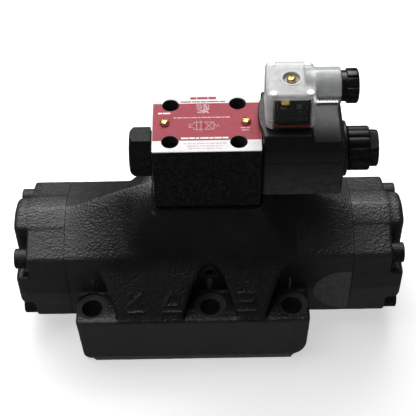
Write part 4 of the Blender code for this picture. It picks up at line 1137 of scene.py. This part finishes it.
def make_lid_marks(mat, shade):
    """Moulded lines on the clear lid: a ring round the screw, and a dimple over each corner pillar."""
    cx, cy = PLUG_C
    z = 195.55
    ring = turned([(z, 5.1), (z, 6.7), (z + 0.25, 6.4), (z + 0.25, 5.3)], "Z", (cx, cy, 0), 64)
    piece(ring, "connector_lid_ring", shade, "connector", ["connector_housing"], 30)
    made = []
    for x, y in ((38.6, -12.3), (59.4, -12.0), (38.4, 12.4), (59.4, 12.4)):
        made.append(turned([(z, 0), (z, 2.4), (z + 0.3, 2.0), (z + 0.3, 0)], "Z", (x, y, 0), 40))
    piece(joined(made), "connector_lid_dimples", mat, "connector", ["connector_housing"], 30)


def make_terminal_block(mat, metal):
    cx, cy = PLUG_C
    low, high = span("terminal_block")
    chamfered = [(low.x + 2.0, low.y), (high.x - 2.0, low.y), (high.x, low.y + 2.0), (high.x, high.y - 2.0),
                 (high.x - 2.0, high.y), (low.x + 2.0, high.y), (low.x, high.y - 2.0), (low.x, low.y + 2.0)]
    body = prism(chamfered, "Z", low.z, high.z)
    slots = [block((cx + dx - 0.9, cy - 3.6, 169.0), (cx + dx + 0.9, cy + 3.6, 178.0)) for dx in (-6.5, 6.5)]
    slots += [block((cx - 3.6, dy - 0.9, 169.0), (cx + 3.6, dy + 0.9, 178.0)) for dy in (-7.5, 7.5)]
    slots.append(rod("Z", (cx, cy, 0), 160.0, 195.0, 1.9, 24))
    slots.append(block((cx - 6.6, -14.0, 186.5), (cx - 1.2, -8.4, 195.0)))
    slots += [block((cx + dx - 2.2, sy * 11.3 - 2.7, 182.4), (cx + dx + 2.2, sy * 11.3 + 2.7, 186.0))
              for sy, dx in itertools.product((-1, 1), (-4.6, 4.6))]
    slots += [block((cx + 2.6 + k * 1.5, -13.0, 171.4), (cx + 2.9 + k * 1.5, -12.0, 181.0)) for k in range(3)]
    boolean(body, joined(slots), mat=mat)
    soften(body, 0.3, 2, 35)
    piece(body, "terminal_block_moulding", mat, "connector", ["terminal_block"])
    clamps = []
    for sy, dx in itertools.product((-1, 1), (-4.6, 4.6)):
        y = sy * 10.6
        clamps.append(prism(rounded_rectangle(cx + dx - 1.9, cx + dx + 1.9, y - 1.4, y + 1.4, 0.5, 3), "Z",
                            182.6, 184.0))
        if dx > 0:
            clamps.append(turned([(184.1, 0), (184.1, 1.3), (185.4, 1.3), (185.7, 1.0), (185.7, 0)], "Z",
                                 (cx + dx, y, 0), 24))
    clamps = joined(clamps)
    piece(clamps, "terminal_clamps", metal, "connector")


def make_board(mat, pink, dark, metal):
    """Circuit board with the series resistor, a diode and solder points beside the lamp."""
    cx, cy = PLUG_C
    low, high = span("circuit_board")
    board = prism(rounded_rectangle(low.x, high.x, low.y, high.y, 1.0, 4), "Z", low.z, high.z)
    boolean(board, rod("Z", (cx, cy, 0), 180.0, 195.0, 2.4, 32), mat=mat)
    boolean(board, block((cx - 6.6, -14.0, 180.0), (cx - 1.2, -8.5, 195.0)), mat=mat)
    soften(board, 0.12, 1, 35)
    piece(board, "circuit_board_laminate", mat, "connector", ["circuit_board"])
    z = high.z + 0.1
    resistor = turned([(-3.6, 0), (-3.6, 0.7), (-3.2, 0.9), (-2.4, 0.9), (-2.0, 0.75), (2.0, 0.75),
                       (2.4, 0.9),
                       (3.2, 0.9), (3.6, 0.7), (3.6, 0)], "Y", (44.6, -3.4, z), 24)
    piece(resistor, "board_resistor", pink, "connector")
    diode = turned([(-1.9, 0), (-1.9, 0.7), (-1.7, 0.85), (1.7, 0.85), (1.9, 0.7), (1.9, 0)], "X",
                   (54.6, -9.4, z), 24)
    piece(diode, "board_diode", dark, "connector")
    points = []
    for x, y in ((56.9, -5.5), (56.9, 3.6), (43.2, 6.4), (53.0, 8.8), (46.4, 10.2), (51.2, -7.0)):
        points.append(turned([(high.z - 0.1, 0), (high.z - 0.1, 0.8), (high.z + 0.25, 0.6),
                              (high.z + 0.6, 0.2),
                              (high.z + 0.65, 0)], "Z", (x, y, 0), 16))
    piece(joined(points), "board_solder", metal, "connector")


def make_lamp(mat):
    low, high = span("lamp")
    lamp = prism(rounded_rectangle(low.x, high.x, low.y, high.y, 0.9, 5), "Z", low.z, high.z)
    soften(lamp, 0.7, 3, 30)
    return piece(lamp, "lamp_lens", mat, "connector", ["lamp"])


def make_connector_screw(mat):
    z = PLUG_RECESS + 0.3
    profile = [(159.4, 0), (159.4, 1.2), (159.6, 1.4), (z, 1.4), (z, 2.85), (z + 1.0, 2.9)]
    profile += [(z + 1.0 + 1.65 * math.sin(a), 2.9 * math.cos(a)) for a in np.linspace(0.2, 1.35,
                                                                                       6)] + [(z + 2.67, 0)]
    return cross_head_screw("connector_screw_head", PLUG_C, profile, 2.0, 0.45, mat, "connector_screw",
                            "connector_screw")


def make_gland_nut(mat):
    """Cap nut of the cable gland: threaded sleeve, and a head with ridges for the grip."""
    low, high = span("gland_nut")
    collar, head = PLUG_HIGH.x + 0.3, 81.0
    profile = [(low.x, 4.3), (low.x, 7.0), (low.x + 0.5, 7.55)]
    for k in range(5):
        x = low.x + 1.0 + 1.4 * k
        profile += [(x, 7.6), (x + 0.65, 7.6), (x + 0.95, 7.15), (x + 1.15, 7.15)]
    profile += [(collar, 7.5), (collar, 8.7), (collar + 0.3, 9.0), (head, 9.0), (head, 9.5),
                (head + 0.4, 10.0),
                (high.x - 1.3, 10.0), (high.x - 0.5, 9.6), (high.x, 8.7), (high.x, 5.4), (high.x - 1.2, 4.3)]

    def ridges(angle, pos, radius):
        if radius < 9.3 or pos < head + 0.1:
            return radius
        return radius + 0.2 - 0.9 * max(0.0, math.cos(10 * angle)) ** 6
    nut = turned(profile, "X", (0, *GLAND), 144, ridges)
    return piece(nut, "gland_nut_moulding", mat, "gland_nut", ["gland_nut"], 30)


def make_grommet(mat):
    low, high = span("cable_grommet")
    profile = [(low.x, 4.5), (low.x, 6.8), (low.x + 0.9, 7.55), (high.x - 0.5, 7.6), (high.x, 7.1),
               (high.x, 4.6),
               (high.x - 0.5, 4.2), (low.x + 0.4, 4.2)]
    seal = turned(profile, "X", (0, *GLAND), 56)
    return piece(seal, "cable_grommet_ring", mat, "connector", ["cable_grommet"])


def dress_frame(mats):
    """The inner pieces keep their CAD shape: each gets its own material."""
    for node, mat in mats.items():
        obj = NODES[node]
        obj.data.materials.clear()
        obj.data.materials.append(mat)


# ---------------------------------------------------------------- stage

def make_stage():
    s = Shader("floor", (0.90, 0.90, 0.90), 0.85)
    s.tint(s.remap(s.noise(60.0, 2.0), 0.3, 0.7), (0.88, 0.88, 0.88))
    s.set("Emission Color", (1.0, 1.0, 1.0, 1.0))
    s.set("Emission Strength", 0.54)
    floor = block((-4000, -4000, -6.0), (4000, 4000, -0.5))
    floor.name = "floor"
    floor.data.materials.append(s.mat)
    floor.visible_glossy = False
    world = bpy.data.worlds.new("studio")
    world.use_nodes = True
    world.node_tree.nodes["Background"].inputs["Color"].default_value = (1, 1, 1, 1)
    world.node_tree.nodes["Background"].inputs["Strength"].default_value = 0.05
    bpy.context.scene.world = world
    for name, place, aim, size, power in (
            ("key", (-260, 330, 950), (0, 0, 60), (1500, 1100), 8.0),
            ("back", (-100, 900, 1030), (0, 0, 90), (1600, 700), 13.0),
            ("front", (-500, -900, 700), (0, 0, 60), (500, 400), 0.3)):
        light = bpy.data.lights.new(name, "AREA")
        light.shape, light.size, light.size_y = "RECTANGLE", size[0] * MM, size[1] * MM
        light.energy = power
        lamp = bpy.data.objects.new(name, light)
        bpy.context.scene.collection.objects.link(lamp)
        lamp.location = Vector(place) * MM
        lamp.rotation_euler = (Vector(place) - Vector(aim)).to_track_quat("Z", "Y").to_euler()


def make_camera():
    data = bpy.data.cameras.new("camera")
    data.sensor_width, data.lens = 36.0, 93.77
    camera = bpy.data.objects.new("camera", data)
    bpy.context.scene.collection.objects.link(camera)
    pitch, yaw, roll = (math.radians(a) for a in (48.79, -0.57, -1.42))
    forward = Vector((math.sin(yaw) * math.cos(pitch), math.cos(yaw) * math.cos(pitch), -math.sin(pitch)))
    right = Vector((math.cos(yaw), -math.sin(yaw), 0.0))
    up = right.cross(forward)
    side = right * math.cos(roll) + up * math.sin(roll)
    top = up * math.cos(roll) - right * math.sin(roll)
    turn = Matrix((side, top, -forward)).transposed().to_4x4()
    camera.matrix_world = Matrix.Translation(Vector((4.35, -463.17, 613.09)) * MM) @ turn
    data.clip_start, data.clip_end = 0.05, 20.0
    bpy.context.scene.camera = camera


def main():
    make_camera()
    bpy.context.scene.view_settings.view_transform = "Standard"
    cast, machined, bare = casting_paint(), machined_paint(), bare_iron()
    black, steel, yellow = black_steel(), ground_steel(), brass()
    grain = moulding("coil_moulding", (0.0045, 0.0045, 0.0048), 0.42, shine=0.45,
                     fade=(158.0, 118.0, (0.040, 0.040, 0.0402)))
    gloss = moulding("gloss_moulding", (0.0045, 0.0045, 0.0050), 0.22, 2.0, 0.02)
    seal, red_seal = rubber(), rubber("red_silicone", (0.42, 0.035, 0.03), 0.5)
    spring = ground_steel("spring_wire", (0.34, 0.33, 0.32), 0.34, (1, 1, 1))
    copper = ground_steel("copper_winding", (0.72, 0.33, 0.16), 0.30, (14, 1, 1))
    make_main_body(cast, machined, bare)
    make_end_cap("right_end_cap", 1, 101.0, cast, machined, bare)
    make_end_cap("left_end_cap", -1, 121.0, cast, machined, bare)
    make_cap_screws(black)
    make_gallery_plug(black)
    make_pilot_body(block_paint(), machined)
    make_nameplate(printed("plate_white", (0.83, 0.82, 0.82)),
                   printed("plate_red", (0.40, 0.050, 0.074), 0.5, 0.22),
                   printed("plate_ink", (0.60, 0.34, 0.37)), printed("plate_red_ink", (0.70, 0.46, 0.50)))
    make_plate_screws(yellow)
    make_pilot_screws(black)
    make_end_plug(moulding("plug_enamel", (0.0050, 0.0050, 0.0054), 0.36, 0.9, 0.03, shine=0.2))
    make_coil_housing(grain, machined)
    make_coil_collar(grain)
    make_lock_nut(moulding("nut_moulding", (0.0040, 0.0040, 0.0044), 0.30, 0.9, 0.02, shine=0.25))
    make_manual_pin(steel)
    make_gasket(red_seal)
    make_pin_carrier(grain, ground_steel("plated_blade", (0.70, 0.69, 0.66), 0.22, (1, 1, 8)))
    make_connector_housing(clear_plastic())
    make_lid_marks(printed("lid_frost", (0.90, 0.91, 0.91), 0.16),
                   printed("lid_shade", (0.50, 0.51, 0.52), 0.2))
    make_terminal_block(gloss, ground_steel("plated_clamp", (0.72, 0.70, 0.62), 0.26, (1, 1, 1)))
    make_board(laminate(), printed("resistor_enamel", (0.72, 0.22, 0.26), 0.3), gloss,
               ground_steel("solder", (0.70, 0.70, 0.72), 0.28, (1, 1, 1)))
    make_lamp(lens())
    make_connector_screw(yellow)
    make_gland_nut(gloss)
    make_grommet(seal)
    seals = [n for n in NODES if n.endswith("_seal") or "_seal_" in n]
    dress_frame({**{n: seal for n in seals}, "main_spool": steel, "main_spring_seat": steel,
                 "pilot_spool": steel,
                 "pilot_spring_seat": steel, "guide_tube": black, "armature": steel, "push_pin": steel,
                 "yoke_plate": black, "coil_winding": copper, "main_spring": spring, "pilot_spring": spring})
    make_stage()


main()
